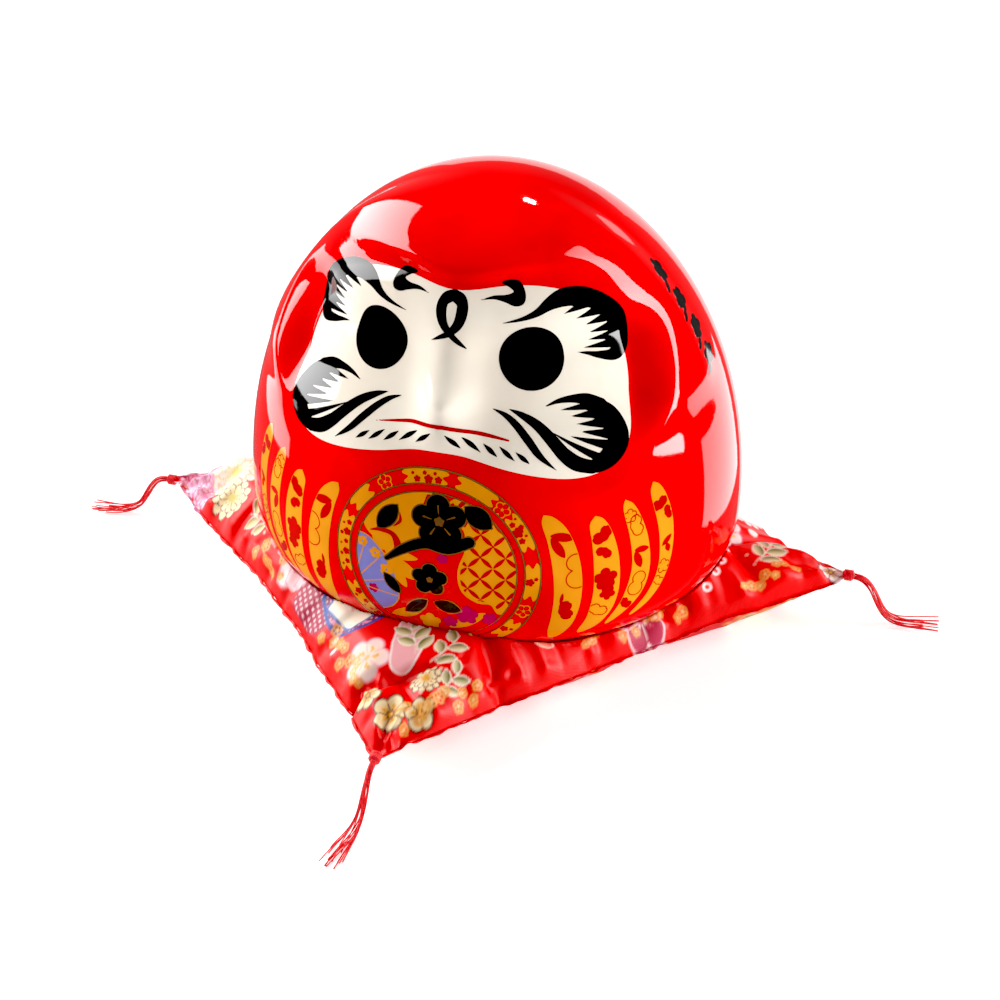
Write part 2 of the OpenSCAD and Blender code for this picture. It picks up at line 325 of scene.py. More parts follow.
def doll_body():
    front = np.linspace(-90, 90, 301)
    back = np.linspace(90, 270, 120)[1:-1]
    az = np.radians(np.concatenate([front, back]))
    n = len(az)
    t0 = -math.asin((WIDEST / BELLY_H) ** (BELLY_P / 2)) * 2 / math.pi
    rows = []
    low = np.linspace(t0, 0, 46)[:-1]
    z_low = WIDEST - BELLY_H * np.sin(-np.pi / 2 * low) ** (2 / BELLY_P)
    high = np.linspace(0, 1, 250)[:-1]
    z_high = WIDEST + CROWN_H * np.sin(np.pi / 2 * high) ** (2 / CROWN_P)
    for z in np.concatenate([z_low, z_high]):
        rows.append(skin(az, np.full(n, z)))
    # the foot ring, its recess, the hole, and the hollow inside, from the outside inwards
    foot = [np.stack([r * np.sin(az), -r * np.cos(az), np.full(n, z + SEAT)], -1) for r, z in FOOT]
    inner = []
    for z in np.concatenate([np.linspace(FOOT[-1][1], WIDEST, 12),
                             WIDEST + (CROWN_H - WALL) * np.sin(np.linspace(0.05, np.pi / 2, 40)[:-1])]):
        up = z >= WIDEST
        q = (z - WIDEST) / (CROWN_H - WALL) if up else (WIDEST - z) / (BELLY_H - WALL)
        p = CROWN_P if up else BELLY_P
        r = (HALF_W - WALL) * max(1 - q ** p, 1e-9) ** (1 / p)
        out = np.where(np.cos(az) > 0, np.minimum(0, sculpt(r * np.sin(az), np.full(n, z))), 0)
        out = out * ramp(0, RELIEF_FADE, r * np.cos(az))
        inner.append(np.stack([(r + out) * np.sin(az), -DEPTH * (r + out) * np.cos(az),
                               np.full(n, z + SEAT)], -1))
    loop = rows[::-1] + foot + inner
    verts = np.vstack([[[0, 0, TOP_Z + SEAT]]] + loop + [[[0, 0, TOP_Z - WALL + SEAT]]])
    faces = [tuple(reversed(f)) for f in ring_faces(len(loop), n, 1)]
    last = 1 + (len(loop) - 1) * n
    faces += [(0, 1 + k, 1 + (k + 1) % n) for k in range(n)]
    faces += [(len(verts) - 1, last + (k + 1) % n, last + k) for k in range(n)]
    ob = piece("doll_body", verts, faces, [RED, BISQUE.m], "doll")
    cut_slot(ob)
    ob.data.set_sharp_from_angle(angle=math.radians(38))
    mark_bare(ob)
    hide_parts("doll_shell")


def cut_slot(ob):
    """The coin slot across the back of the head, with round ends."""
    cut = bmesh.new()
    ring = []
    for k in range(SLOT_SIDES):
        a = 2 * np.pi * k / SLOT_SIDES
        end = SLOT_HALF if math.cos(a) > 0 else -SLOT_HALF
        ring.append((end + SLOT_R * math.cos(a), SLOT_Y + SLOT_R * math.sin(a)))
    lo = [cut.verts.new(Vector((x, y, SLOT_LOW + SEAT)) * MM) for x, y in ring]
    hi = [cut.verts.new(Vector((x, y, SLOT_HIGH + SEAT)) * MM) for x, y in ring]
    cut.faces.new(lo[::-1])
    cut.faces.new(hi)
    for k in range(SLOT_SIDES):
        m = (k + 1) % SLOT_SIDES
        cut.faces.new((lo[k], lo[m], hi[m], hi[k]))
    me = bpy.data.meshes.new("slot_cutter")
    cut.to_mesh(me)
    cut.free()
    cutter = bpy.data.objects.new("slot_cutter", me)
    bpy.context.scene.collection.objects.link(cutter)
    mod = ob.modifiers.new("slot", "BOOLEAN")
    # the fast solver leaves the slot uncut without an error
    mod.object, mod.operation, mod.solver = cutter, "DIFFERENCE", "EXACT"
    apply_modifiers(ob)
    bpy.data.objects.remove(cutter)


def mark_bare(ob):
    """Bare porcelain on the hollow side, in the base hole and in the foot's recess."""
    co = np.zeros(len(ob.data.polygons) * 3)
    ob.data.polygons.foreach_get("center", co)
    co = co.reshape(-1, 3) / MM
    h = np.clip(co[:, 2] - SEAT, 0.01, TOP_Z)
    forward = np.where(co[:, 1] < 0, np.minimum(0, sculpt(co[:, 0], h)), 0) * ramp(0, RELIEF_FADE, -co[:, 1])
    inside = np.hypot(co[:, 0], co[:, 1] / DEPTH) < plain_r(h) + forward - 2.6
    bare = inside & ((co[:, 2] > SEAT + 0.3) | (np.hypot(co[:, 0], co[:, 1]) < 24.4))
    ob.data.polygons.foreach_set("material_index", bare.astype(int))


def apply_modifiers(ob):
    bpy.context.view_layer.update()
    me = bpy.data.meshes.new_from_object(ob.evaluated_get(bpy.context.evaluated_depsgraph_get()))
    old = ob.data
    ob.modifiers.clear()
    ob.data = me
    me.name = old.name


# ---------------------------------------------------------------- painted shapes
def cut_out(field, box, step):
    """The area of box where field(u, v) is negative, as flat polygons with smooth edges, and the
    directed edges of its outline."""
    x0, x1, y0, y1 = box
    u = np.arange(x0 - step, x1 + 1.5 * step, step)
    v = np.arange(y0 - step, y1 + 1.5 * step, step)
    U, V = np.meshgrid(u, v)
    F = field(U, V)
    F[0], F[-1], F[:, 0], F[:, -1] = 1, 1, 1, 1
    ins = F < 0
    index = {}
    ids = -np.ones(F.shape, int)
    ids[ins] = np.arange(ins.sum())
    pts = list(zip(U[ins], V[ins]))
    c = [ins[:-1, :-1], ins[:-1, 1:], ins[1:, 1:], ins[1:, :-1]]
    full = c[0] & c[1] & c[2] & c[3]
    some = (c[0] | c[1] | c[2] | c[3]) & ~full
    corners = [ids[:-1, :-1], ids[:-1, 1:], ids[1:, 1:], ids[1:, :-1]]
    faces = np.stack([i[full] for i in corners], -1).tolist()
    rim = []

    def crossing(a, b):
        key = (a, b) if a < b else (b, a)
        if key not in index:
            fa, fb = F[a], F[b]
            t = min(max(fa / (fa - fb), 0.06), 0.94)
            index[key] = len(pts)
            pts.append((U[a] + t * (U[b] - U[a]), V[a] + t * (V[b] - V[a])))
        return index[key]

    for j, i in np.argwhere(some):
        cs = [(j, i), (j, i + 1), (j + 1, i + 1), (j + 1, i)]
        poly, kinds = [], []
        for k in range(4):
            a, b = cs[k], cs[(k + 1) % 4]
            if ins[a]:
                poly.append(int(ids[a]))
                kinds.append(0)
            if ins[a] != ins[b]:
                poly.append(crossing(a, b))
                kinds.append(1 if ins[a] else 2)
        if len(poly) > 2:
            faces.append(poly)
            for k in range(len(poly)):
                m = (k + 1) % len(poly)
                if kinds[k] == 1 and kinds[m] == 2:
                    rim.append((poly[k], poly[m]))
    return np.array(pts, float).reshape(-1, 2), faces, rim


PAINT_DEPTH = 0.15


def painted(name, layers, mat, place, lift):
    """A thin closed skin of paint on the doll. layers is a list of (field, box, step), place maps
    (u, v) to a point and a normal."""
    verts, norms, faces, at = [], [], [], 0
    for field, box, step in layers:
        uv, fs, rim = cut_out(field, box, step)
        if not len(fs):
            continue
        P, N = place(uv[:, 0], uv[:, 1])
        n = len(P)
        verts += [P + N * lift, P - N * PAINT_DEPTH]
        norms += [N, -N]
        faces += [tuple(at + i for i in f) for f in fs]
        faces += [tuple(at + n + i for i in reversed(f)) for f in fs]
        faces += [(at + b, at + a, at + n + a, at + n + b) for a, b in rim]
        at += 2 * n
    piece(name, np.vstack(verts), faces, [mat], "doll", normals=np.vstack(norms))


def on_face(u, v):
    a = u / 50
    z = v - SEAT
    return skin(a, z), skin_normal(a, z)


def on_panel(x, z):
    a = np.arcsin(np.clip(x / plain_r(z), -1, 1))
    return skin(a, z), skin_normal(a, z)


def on_flank(u, v):
    """u is azimuth in degrees, v height over the standing surface."""
    return skin(np.radians(u), v - SEAT), skin_normal(np.radians(u), v - SEAT)


_z = np.linspace(0.5, 110, 3000)
_s = np.concatenate([[0], np.cumsum(np.hypot(np.diff(_z), np.diff(DEPTH * plain_r(_z))))])
MEDAL_Z, MEDAL_R = 44.8 - SEAT, 72.0


def on_belly(u, v):
    """A round patch round the middle of the belly, u to the side and v up, in mm on the surface."""
    rho, th = np.hypot(u, v) / MEDAL_R, np.arctan2(v, u)
    lat = np.arcsin(np.sin(rho) * np.sin(th))
    lon = np.arctan2(np.sin(rho) * np.cos(th), np.cos(rho))
    z = np.interp(np.interp(MEDAL_Z, _z, _s) + lat * MEDAL_R, _s, _z)
    a = lon * MEDAL_R / HALF_W
    return skin(a, z), skin_normal(a, z)


def stroke(u, v, pts, steps=6):
    """A brush stroke: rows are u, v and the width there."""
    p = lane(pts, steps)
    d, s = to_line(u, v, p[:, :2])
    w = np.interp(s, np.arange(len(p)), p[:, 2])
    return d - w / 2


def within(u, v, pts):
    """Signed distance to a closed outline through pts, negative inside."""
    p = lane(list(pts) + [pts[0]], 5)[:-1]
    d, _ = to_line(u, v, p, True)
    ins = np.zeros(u.shape, bool)
    q = np.roll(p, -1, 0)
    for (x1, y1), (x2, y2) in zip(p, q):
        m = (y1 > v) != (y2 > v)
        with np.errstate(divide="ignore", invalid="ignore"):
            ins ^= m & (u < (x2 - x1) * (v - y1) / (y2 - y1 + 1e-12) + x1)
    return np.where(ins, -d, d)


def wedge(u, v, tip, root, w):
    """A spike from a wide root to a fine tip."""
    return stroke(u, v, [(*root, w), (*tip, 0.05)], 4)


def joined(*fields):
    out = fields[0]
    for f in fields[1:]:
        out = np.minimum(out, f)
    return out


# The brushwork's points below were traced from the photo and turned into mm by a scratch script,
# then adjusted by hand.
def brow_tuft(u, v):
    body = stroke(u, v, [(13.6, 107.4, 0.1), (18.8, 108.2, 0.9), (23.2, 109.4, 1.7), (27.2, 111.1, 2.6),
                         (31.4, 112, 3.4), (36, 112, 4), (40.6, 111, 4.6), (45, 108.4, 5.4),
                         (48.3, 104.6, 6.0), (49.2, 100.4, 5.6), (48, 97.2, 4.6), (45.2, 95.7, 2.8),
                         (41, 96.4, 1.7), (37.6, 97.4, 0.8), (34.8, 98, 0.1)])
    spikes = [wedge(u, v, t, r, w) for t, r, w in (
        ((31.4, 108.7), (39.8, 110.6), 2.8), ((35, 107), (43.4, 108.2), 3.2),
        ((37.8, 104.8), (46, 105.8), 3.4), ((39, 102.4), (47.6, 102.8), 3.2),
        ((38.6, 100.5), (47.8, 100.2), 2.8), ((36.8, 98.8), (46.6, 98.2), 2.4))]
    return joined(body, *spikes)


def cheek_lobe(u, v):
    body = within(u, v, [(33.4, 88.3), (37, 87.2), (40.8, 84.7), (42.2, 81.4), (41.8, 78), (40, 75),
                         (37.2, 72.4), (34, 71.2), (31.6, 71.6), (31.4, 74), (34, 76), (36.6, 78.5),
                         (37.4, 81.5), (36.4, 84.2), (34, 86.2)])
    crest = stroke(u, v, [(23.6, 86.8, 0.1), (27.2, 87.8, 1.1), (31, 87.9, 1.9), (34.6, 87.2, 2.8),
                          (38, 85.4, 3)])
    foot = stroke(u, v, [(24.2, 79.4, 2.2), (26.2, 76.8, 3.1), (28.8, 74.2, 3.6), (32, 72.8, 3.4)])
    spikes = [wedge(u, v, t, r, w) for t, r, w in (
        ((27.2, 85.8), (36, 85.8), 2.2), ((29.5, 84.2), (38, 83.8), 2.8),
        ((30.5, 82.5), (38.6, 81.6), 2.8), ((30.8, 81), (38.4, 79.2), 2.6),
        ((28.2, 80.4), (37.2, 76.9), 2.5), ((24.2, 81.7), (34.4, 74.4), 2.2))]
    return joined(body, crest, foot, *spikes)


def comma(u, v):
    return stroke(u, v, [(14.6, 115.9, 0.9), (16.9, 115.6, 1.9), (18.9, 114.8, 3), (19.2, 113.3, 3.6),
                         (17.4, 112.6, 2.7), (14.8, 112.8, 1.4), (11.5, 113.1, 0.7), (7.6, 112.7, 0.05)])


def long_stroke(u, v):
    return stroke(u, v, [(11.1, 86.9, 0.1), (14.4, 85.2, 1.2), (17, 82.8, 1.7), (19.2, 79.8, 1.8),
                         (21.2, 76.7, 1.4), (24.3, 73.2, 0.1)])


def long_stroke_2(u, v):
    return stroke(u, v, [(15, 86.7, 0.1), (18, 85.3, 1.4), (21.2, 83.2, 2.2), (23.6, 80.6, 2.7),
                         (25.8, 77.4, 3)])


def ribbon(u, v):
    left = stroke(u, v, [(4.8, 101.3, 0.05), (2.6, 103.1, 1.1), (0.1, 105.2, 1.6), (-1.9, 107.4, 2.4),
                         (-2.9, 110.2, 3), (-2.4, 112.4, 2.8), (0, 113.5, 2.2)])
    right = stroke(u, v, [(-4.9, 102.4, 0.05), (-2.4, 103.9, 1), (0, 105.2, 1.6), (2.1, 107.5, 2.6),
                          (2.9, 110.4, 3.1), (2.4, 112.4, 2.8), (0, 113.5, 2.2)])
    return joined(left, right)


def dash(a, b, w=1.05):
    mid = ((a[0] + b[0]) / 2, (a[1] + b[1]) / 2)
    return lambda u, v: stroke(u, v, [(*a, 0.15), (*mid, w), (*b, 0.1)], 4)


def mirrored(f):
    return lambda u, v: f(-u, v)


def face_paint():
    painted("face_panel", [(lambda x, z: face_dist(x, z) - 0.05, (-48, 48, 60, 112), 0.5)], IVORY,
            on_panel, 0.04)
    shapes = [(brow_tuft, (12, 55, 92, 116)), (cheek_lobe, (22, 45, 69, 91)), (comma, (6, 23, 110, 118)),
              (long_stroke, (10, 26, 72, 88)), (long_stroke_2, (14, 29, 74, 88))]
    layers = []
    for f, (a, b, c, d) in shapes:
        layers.append((f, (a, b, c, d), 0.25))
        layers.append((mirrored(f), (-b, -a, c, d), 0.25))
    layers.append((ribbon, (-7, 7, 100, 116), 0.25))
    for a, b in (((1.5, 82.2), (4.8, 78.8)), ((4.8, 81.5), (8.8, 77.8)), ((9.4, 79.6), (12.3, 76.8)),
                 ((12.8, 79), (15.8, 76)), ((16.2, 77.8), (18.9, 75.2))):
        for side in (-1, 1):
            p, q = (side * a[0], a[1]), (side * b[0], b[1])
            box = (min(p[0], q[0]) - 1, max(p[0], q[0]) + 1, q[1] - 1, p[1] + 1)
            layers.append((dash(p, q), box, 0.2))
    for side in (-1, 1):
        c = skin(np.array(side * 21.7 / 50), np.array(98.0 - SEAT))
        layers.append((lambda u, v, c=c: np.linalg.norm(skin(u / 50, v - SEAT) - c, axis=-1) - 8.3,
                       (side * 21.7 - 11, side * 21.7 + 11, 87, 109), 0.3))
    painted("face_brushwork", layers, INK, on_face, 0.08)
    lip = lambda u, v: stroke(u, v, [
        (-15.6, 80.2, 0.15), (-10, 81.7, 0.6), (-6.2, 82.9, 0.8), (-1.5, 83.9, 0.9), (0, 84, 1),
        (1.5, 83.9, 0.9), (6, 82.5, 0.8), (10, 81.4, 0.8), (14.8, 80.2, 0.4)])
    painted("lip_line", [(lip, (-17, 16, 78, 86), 0.25)], LINE_RED, on_face, 0.08)


def plum(u, v, cx, cy, r, turn=90.0):
    """Five round petals: signed distance to their outline."""
    out = np.hypot(u - cx, v - cy) - 0.36 * r
    for k in range(5):
        a = math.radians(turn + 72 * k)
        petal = np.hypot(u - cx - 0.58 * r * math.cos(a), v - cy - 0.58 * r * math.sin(a)) - 0.4 * r
        out = np.minimum(out, petal)
    return out


def leaf(u, v, a, b, w):
    """A pointed oval from a to b, w wide."""
    (x1, y1), (x2, y2) = a, b
    n = math.hypot(x2 - x1, y2 - y1)
    t = ((u - x1) * (x2 - x1) + (v - y1) * (y2 - y1)) / n
    q = ((u - x1) * (y2 - y1) - (v - y1) * (x2 - x1)) / n
    s = np.clip(t / n, 0, 1)
    return np.maximum(np.abs(q) - w / 2 * (4 * s * (1 - s)) ** 0.8, np.maximum(-t, t - n))


def heart_pair(u, v, cx, cy, r, turn):
    """Two notched petals and a bud on one stalk."""
    out = np.full(u.shape, 9.0)
    for da in (-38, 38):
        a = math.radians(turn + da)
        dx, dy = math.cos(a), math.sin(a)
        x, y = u - cx - 0.55 * r * dx, v - cy - 0.55 * r * dy
        t, q = x * dx + y * dy, -x * dy + y * dx
        body = np.hypot(t, q) - 0.42 * r
        notch = np.hypot(t - 0.5 * r, q) - 0.14 * r
        root, tip = (cx - 0.1 * r * dx, cy - 0.1 * r * dy), (cx + 0.9 * r * dx, cy + 0.9 * r * dy)
        tail = leaf(u, v, root, tip, 0.5 * r)
        out = np.minimum(out, np.maximum(np.minimum(body, tail), -notch))
    return out


def fixed(shape, *values):
    """The shape as a field of (u, v) alone, its other values given."""
    return lambda u, v: shape(u, v, *values)


def union(*fields):
    return lambda u, v: joined(*[f(u, v) for f in fields])


def overlap(f, g):
    return lambda u, v: np.maximum(f(u, v), g(u, v))


def grown(f, by):
    return lambda u, v: f(u, v) - by


def line(f, w):
    return lambda u, v: np.abs(f(u, v)) - w / 2


def disc(r, x=0, y=0):
    return lambda u, v: np.hypot(u - x, v - y) - r


def around(x, y, r):
    return x - r, x + r, y - r, y + r


def lattice(u, v, s=4.7, w=0.6):
    """Lens-shaped petals along the edges of a square net turned by 45."""
    p, q = (u + v) / math.sqrt(2) / s + 0.3, (v - u) / math.sqrt(2) / s + 0.1
    out = np.full(u.shape, 9.0)
    for a, b in ((p, q), (q, p)):
        t = a - np.floor(a)
        out = np.minimum(out, np.abs(b - np.round(b)) * s - w * 4 * t * (1 - t))
    return out


# These two panels follow points traced from the photo, then redrawn.
FAN = [(1, 13.2), (5.2, 14.6), (8.4, 12.6), (8.8, 7), (7.2, 2), (6.9, -2.2), (8.2, -6.2), (11.8, -8.9),
       (15.4, -9.4), (17.4, -12.4), (21, -10), (23, 0), (22, 9), (16, 16.5), (8.4, 21.6), (3, 19)]
FOLDING = [(-24, 2.4), (-22.6, 5.6), (-19.6, 5.9), (-17, 4.6), (-14.2, 2), (-12.6, -1), (-10.6, -4),
           (-9.8, -8), (-9.6, -11.8), (-12, -15.4), (-16, -16.6), (-21, -12), (-24, -6)]
RING_R, BAND_R, BAND_IN, DISC_R = 28.7, 26.5, 24.5, 22.3


def on_band(a, out=0.0):
    """The point of the medallion's band at an angle in degrees."""
    return (BAND_R + out) * math.cos(math.radians(a)), (BAND_R + out) * math.sin(math.radians(a))


def sector(u, v, a0, a1):
    """A piece of the band with wavy ends."""
    mid, half = math.radians((a0 + a1) / 2), math.radians((a1 - a0) / 2)
    th = np.arctan2(v, u) - mid
    th = np.abs((th + np.pi) % (2 * np.pi) - np.pi)
    r = np.hypot(u, v)
    ends = (th - half) * BAND_R + 0.8 * np.cos(r * 2.6)
    return np.maximum(ends, np.maximum(BAND_IN + 0.2 - r, r - (RING_R - 0.2)))


def medallion():
    every, fan_box, folding_box = (-30, 30, -30, 30), (0, 23, -13, 22), (-25, -8, -18, 7)
    fan, folding = fixed(within, FAN), fixed(within, FOLDING)
    clip = lambda f: overlap(f, disc(DISC_R - 0.1))
    band = union(*[fixed(sector, a, b) for a, b in (
        (84, 108), (134, 150), (158, 196), (18, 40), (54, 76), (-16, 6), (-52, -36), (206, 226), (244, 262))])
    clouds = union(disc(5.4, -15, 11), disc(5.2, -11.6, 16.4), disc(4.9, -4.2, 18.6), disc(3.8, -13.6, 6.4),
                   disc(5.0, -6.5, 10.2))
    sprig = union(fixed(leaf, (-14.4, 1.6), (-3.4, -4.2), 4.4), fixed(leaf, (-13.6, 2.4), (-4, 2.2), 2.6),
                  fixed(leaf, (-12, 0), (-7.2, -7.4), 3.0))
    foot = union(fixed(leaf, (4, -19), (14, -12.4), 3.4), fixed(leaf, (-12, -18), (-3, -14), 3.2),
                 fixed(plum, -1, -17.5, 3))
    gold = [(band, every, 0.35), (clip(clouds), (-23, 2, 2, 23), 0.3), (clip(fan), fan_box, 0.3),
            (sprig, (-15, -3, -8, 4), 0.25), (clip(foot), (-13, 15, -21, -11), 0.3)]
    for a, r in ((122, 2.0), (47, 2.1), (-26, 2.0), (232, 2.0)):
        x, y = on_band(a)
        gold.append((line(fixed(plum, x, y, r + 0.2, a), 0.32), around(x, y, 3), 0.16))
        gold.append((disc(0.4, x, y), around(x, y, 1), 0.16))
    painted("medallion_gold", gold, GOLD, on_belly, 0.05)
    # red motifs over the gold
    red = [(overlap(lattice, grown(fan, -0.5)), fan_box, 0.25)]
    for a, r in ((88, 1.1), (94, 1.3), (101, 1.0), (30, 1.7), (24, 1.0), (36, 0.9), (163, 0.9), (170, 1.3),
                 (177, 0.8), (184, 1.2), (191, 0.9), (-5, 1.3), (212, 1.2), (220, 0.9), (250, 1.1),
                 (-44, 1.2)):
        for turn, out, size in ((0, -0.7, 1), (2.2, 0.9, 0.5)):
            x, y = on_band(a + turn, out)
            red.append((fixed(plum, x, y, r * size, a), around(x, y, 2), 0.16))
    for pts, box in (
            ([(-18.2, 7.6, 0.2), (-15, 8.6, 1.2), (-11.4, 8.2, 1.5), (-9.8, 5.4, 2.2), (-10.4, 3, 1.2)],
             (-20, -8, 2, 10)),
            ([(-1.4, 20.8, 1.6), (-2.6, 17, 1.2), (-1.6, 13.6, 2)], (-5, 1, 12, 22)),
            ([(-9.4, 15, 0.2), (-9.2, 12.6, 0.9), (-11, 10.6, 0.3)], (-13, -8, 9, 17))):
        red.append((fixed(stroke, pts), box, 0.25))
    painted("medallion_red", red, MOTIF_RED, on_belly, 0.08)
    painted("medallion_fan", [(clip(folding), folding_box, 0.3)], LILAC, on_belly, 0.07)
    small = []
    for x, y, r, t in ((-20.4, 3.4, 1.7, 80), (-16.4, 1, 1.8, 100), (-13, -3.4, 2.1, 70)):
        hole = lambda u, v, x=x, y=y: 0.35 - np.hypot(u - x, v - y)
        small.append((overlap(fixed(plum, x, y, r, t), hole), around(x, y, 3), 0.18))
    for tip in ((-19.2, 5), (-14.4, 1), (-10.8, -5.6), (-9.8, -11)):
        rib = fixed(stroke, [(-23.4, -10.6, 0.3), (*tip, 0.34)], 2)
        small.append((clip(rib), (-24, -9, -12, 6), 0.16))
    small.append((line(overlap(folding, disc(DISC_R)), 0.3), folding_box, 0.16))
    small.append((line(overlap(fan, disc(DISC_R)), 0.42), fan_box, 0.18))
    painted("medallion_fan_gold", small, GOLD, on_belly, 0.1)
    pink = [(fixed(plum, x, y, r, t), around(x, y, 4), 0.22)
            for x, y, r, t in ((9, -13.6, 3.2, 90), (15, -14.6, 2.3, 60), (4.4, -16.6, 2.2, 20),
                               (2.6, 3.6, 1.6, 30), (-5, 5.6, 1.3, 80), (-17, -10.6, 1.6, 0))]
    painted("medallion_pink", pink, MAGENTA, on_belly, 0.09)
    # the black painted blossoms, twig and leaves in the middle, each with a gold edge
    twig = [(-13, 0.4, 0.9), (-8, 4.6, 2.3), (-2, 7.6, 3), (4, 7.2, 3.6), (9.6, 9.4, 3)]
    low_leaves = union(fixed(leaf, (-7.6, -15.4), (-1.6, -10.2), 3.4),
                       fixed(leaf, (0.4, -10.4), (7.4, -12.2), 3.6))
    marks = [(fixed(plum, 1.6, 14.4, 7.6, 96), (-8, 11, 5, 24)),
             (fixed(stroke, twig), (-16, 13, -2, 12)),
             (fixed(leaf, (-15.6, 9.2), (-10.2, 16.8), 4.6), (-19, -7, 6, 19)),
             (fixed(leaf, (8.4, 19.4), (15.4, 14), 5.4), (6, 18, 11, 22)),
             (fixed(plum, -0.8, -3.4, 4.9, 90), (-8, 6, -10, 3)),
             (fixed(leaf, (-13.6, -4.6), (-9.2, -9.6), 3), (-16, -7, -12, -3)),
             (low_leaves, (-10, 10, -18, -8))]
    painted("medallion_black_edges", [(grown(f, 0.38), box, 0.18) for f, box in marks], EDGE, on_belly, 0.12)
    painted("medallion_black", [(f, box, 0.2) for f, box in marks], INK, on_belly, 0.15)
    pips = [(fixed(plum, x, y, r, 90), around(x, y, 3), 0.16)
            for x, y, r in ((1.6, 14.4, 1.5), (-0.8, -3.4, 1.0))]
    for k in range(5):
        a = math.radians(96 + 72 * k)
        ray = [(1.6 + q * math.cos(a), 14.4 + q * math.sin(a), w) for q, w in ((2.2, 0.3), (4.4, 0.6))]
        pips.append((fixed(stroke, ray, 2), (-5, 8, 8, 21), 0.16))
    painted("medallion_black_pips", pips, EDGE, on_belly, 0.18)
    rings = [(line(disc(r), w), every, 0.22) for r, w in ((RING_R, 0.42), (BAND_IN, 0.4), (DISC_R, 0.4))]
    painted("medallion_rings", rings, EDGE, on_belly, 0.11)


# Traced from the photo: these are mostly a scratch script's points, in degrees round the doll and mm
# up from the standing surface, lightly adjusted by hand.
STRIPES = [
    [(24.2, 62.2), (26.5, 61.3), (29.2, 58), (31.2, 52.5), (32.4, 45.8), (32.6, 38.8), (31.9, 32.5),
     (30.4, 27), (27.8, 22.6), (25.8, 22.4), (25.3, 26), (25.8, 31), (26.3, 38), (26, 46), (25, 54),
     (23.8, 59.6)],
    [(36, 60.3), (38, 59), (39.8, 55.2), (41.2, 48.5), (41.6, 40.8), (41, 34.5), (39.2, 29.2), (36.4, 25),
     (33, 23), (32.4, 24.6), (34, 29.6), (35.2, 37.5), (35.3, 45), (35, 52.5), (34.6, 57.8)],
    [(43.6, 63), (45.8, 61), (47.6, 56.5), (49, 50.5), (49.5, 43), (48.7, 37), (46.7, 32.6), (43.2, 28.4),
     (39.6, 25.2), (39, 26.2), (42, 32.4), (44, 38.8), (44.7, 44.8), (44.2, 52.2), (43, 60)],
    [(51.5, 65.4), (53.5, 64), (55.2, 60), (56.3, 54.2), (56.4, 47.5), (55.3, 40.5), (53.2, 34.8),
     (49.8, 29.8), (45.8, 26.4), (45.2, 27.2), (49, 32.6), (51.4, 38.2), (52.2, 44.2), (52, 52.5),
     (50.6, 62)]]
# each stripe's motifs from the middle of the stripe: shape, height and half the box it needs
STRIPE_MOTIFS = [
    [(union(fixed(leaf, (-2.4, 1.2), (4.2, -0.2), 2.6), fixed(leaf, (-2.2, 0.6), (1.4, -5.6), 2.6)), 55, 6),
     (line(union(disc(2.6, 2.4, 2.6), disc(2.9, 2.6, -2.4), disc(2.6, 4, 0)), 0.32), 45, 7),
     (fixed(heart_pair, -1.6, 0, 4.2, 8), 32.5, 5),
     (fixed(leaf, (-1.8, -1.6), (-1.2, 2), 1), 36.5, 4)],
    [(fixed(heart_pair, 1.2, -1.4, 4.2, 128), 54.5, 5),
     (fixed(heart_pair, 0.2, 1.2, 3.2, 240), 49.2, 4),
     (fixed(plum, -0.4, 0, 3.6, 20), 41, 5),
     (fixed(plum, 0.6, 0, 2.4, 50), 36.4, 4),
     (line(fixed(heart_pair, -1, 0, 3.6, 60), 0.3), 30, 5)],
    [(line(fixed(heart_pair, -1.4, 0, 4, 10), 0.32), 54.6, 5),
     (line(fixed(plum, -0.6, 0, 2, 90), 0.3), 58, 4),
     (union(fixed(leaf, (-2, 2), (2.6, 1.6), 2), fixed(leaf, (-1.8, 1.6), (0, -3.8), 2.4)), 45.6, 5),
     (line(union(disc(2, 0.6, 1.6), disc(2.2, -0.6, -1.4)), 0.3), 37, 5),
     (fixed(heart_pair, -0.6, 0, 3, 40), 30.6, 4)],
    [(fixed(heart_pair, 0, -1.2, 3.6, 110), 58.6, 4),
     (fixed(heart_pair, 0.2, 0.8, 2.8, 20), 54.4, 4),
     (union(fixed(leaf, (-1.6, -1), (1.8, 1.6), 1.8), fixed(leaf, (0, -0.6), (0.8, -3.4), 1.8)), 47, 4),
     (line(fixed(plum, 0, 0, 2.2, 90), 0.3), 39.6, 4),
     (line(fixed(heart_pair, 0, 0, 2.6, 50), 0.28), 34.6, 4)]]
FLANK = 68.0
TO_MM = math.radians(1) * FLANK


def stripe_middle(outline, z):
    """The azimuth of a stripe's middle at a height, in degrees."""
    az, zs = np.array(outline).T
    top, low = int(zs.argmax()), int(zs.argmin())
    outer = np.interp(-z, -zs[top:low + 1], az[top:low + 1])
    back = list(range(low, len(zs))) + [top]
    return (outer + np.interp(z, zs[back], az[back])) / 2


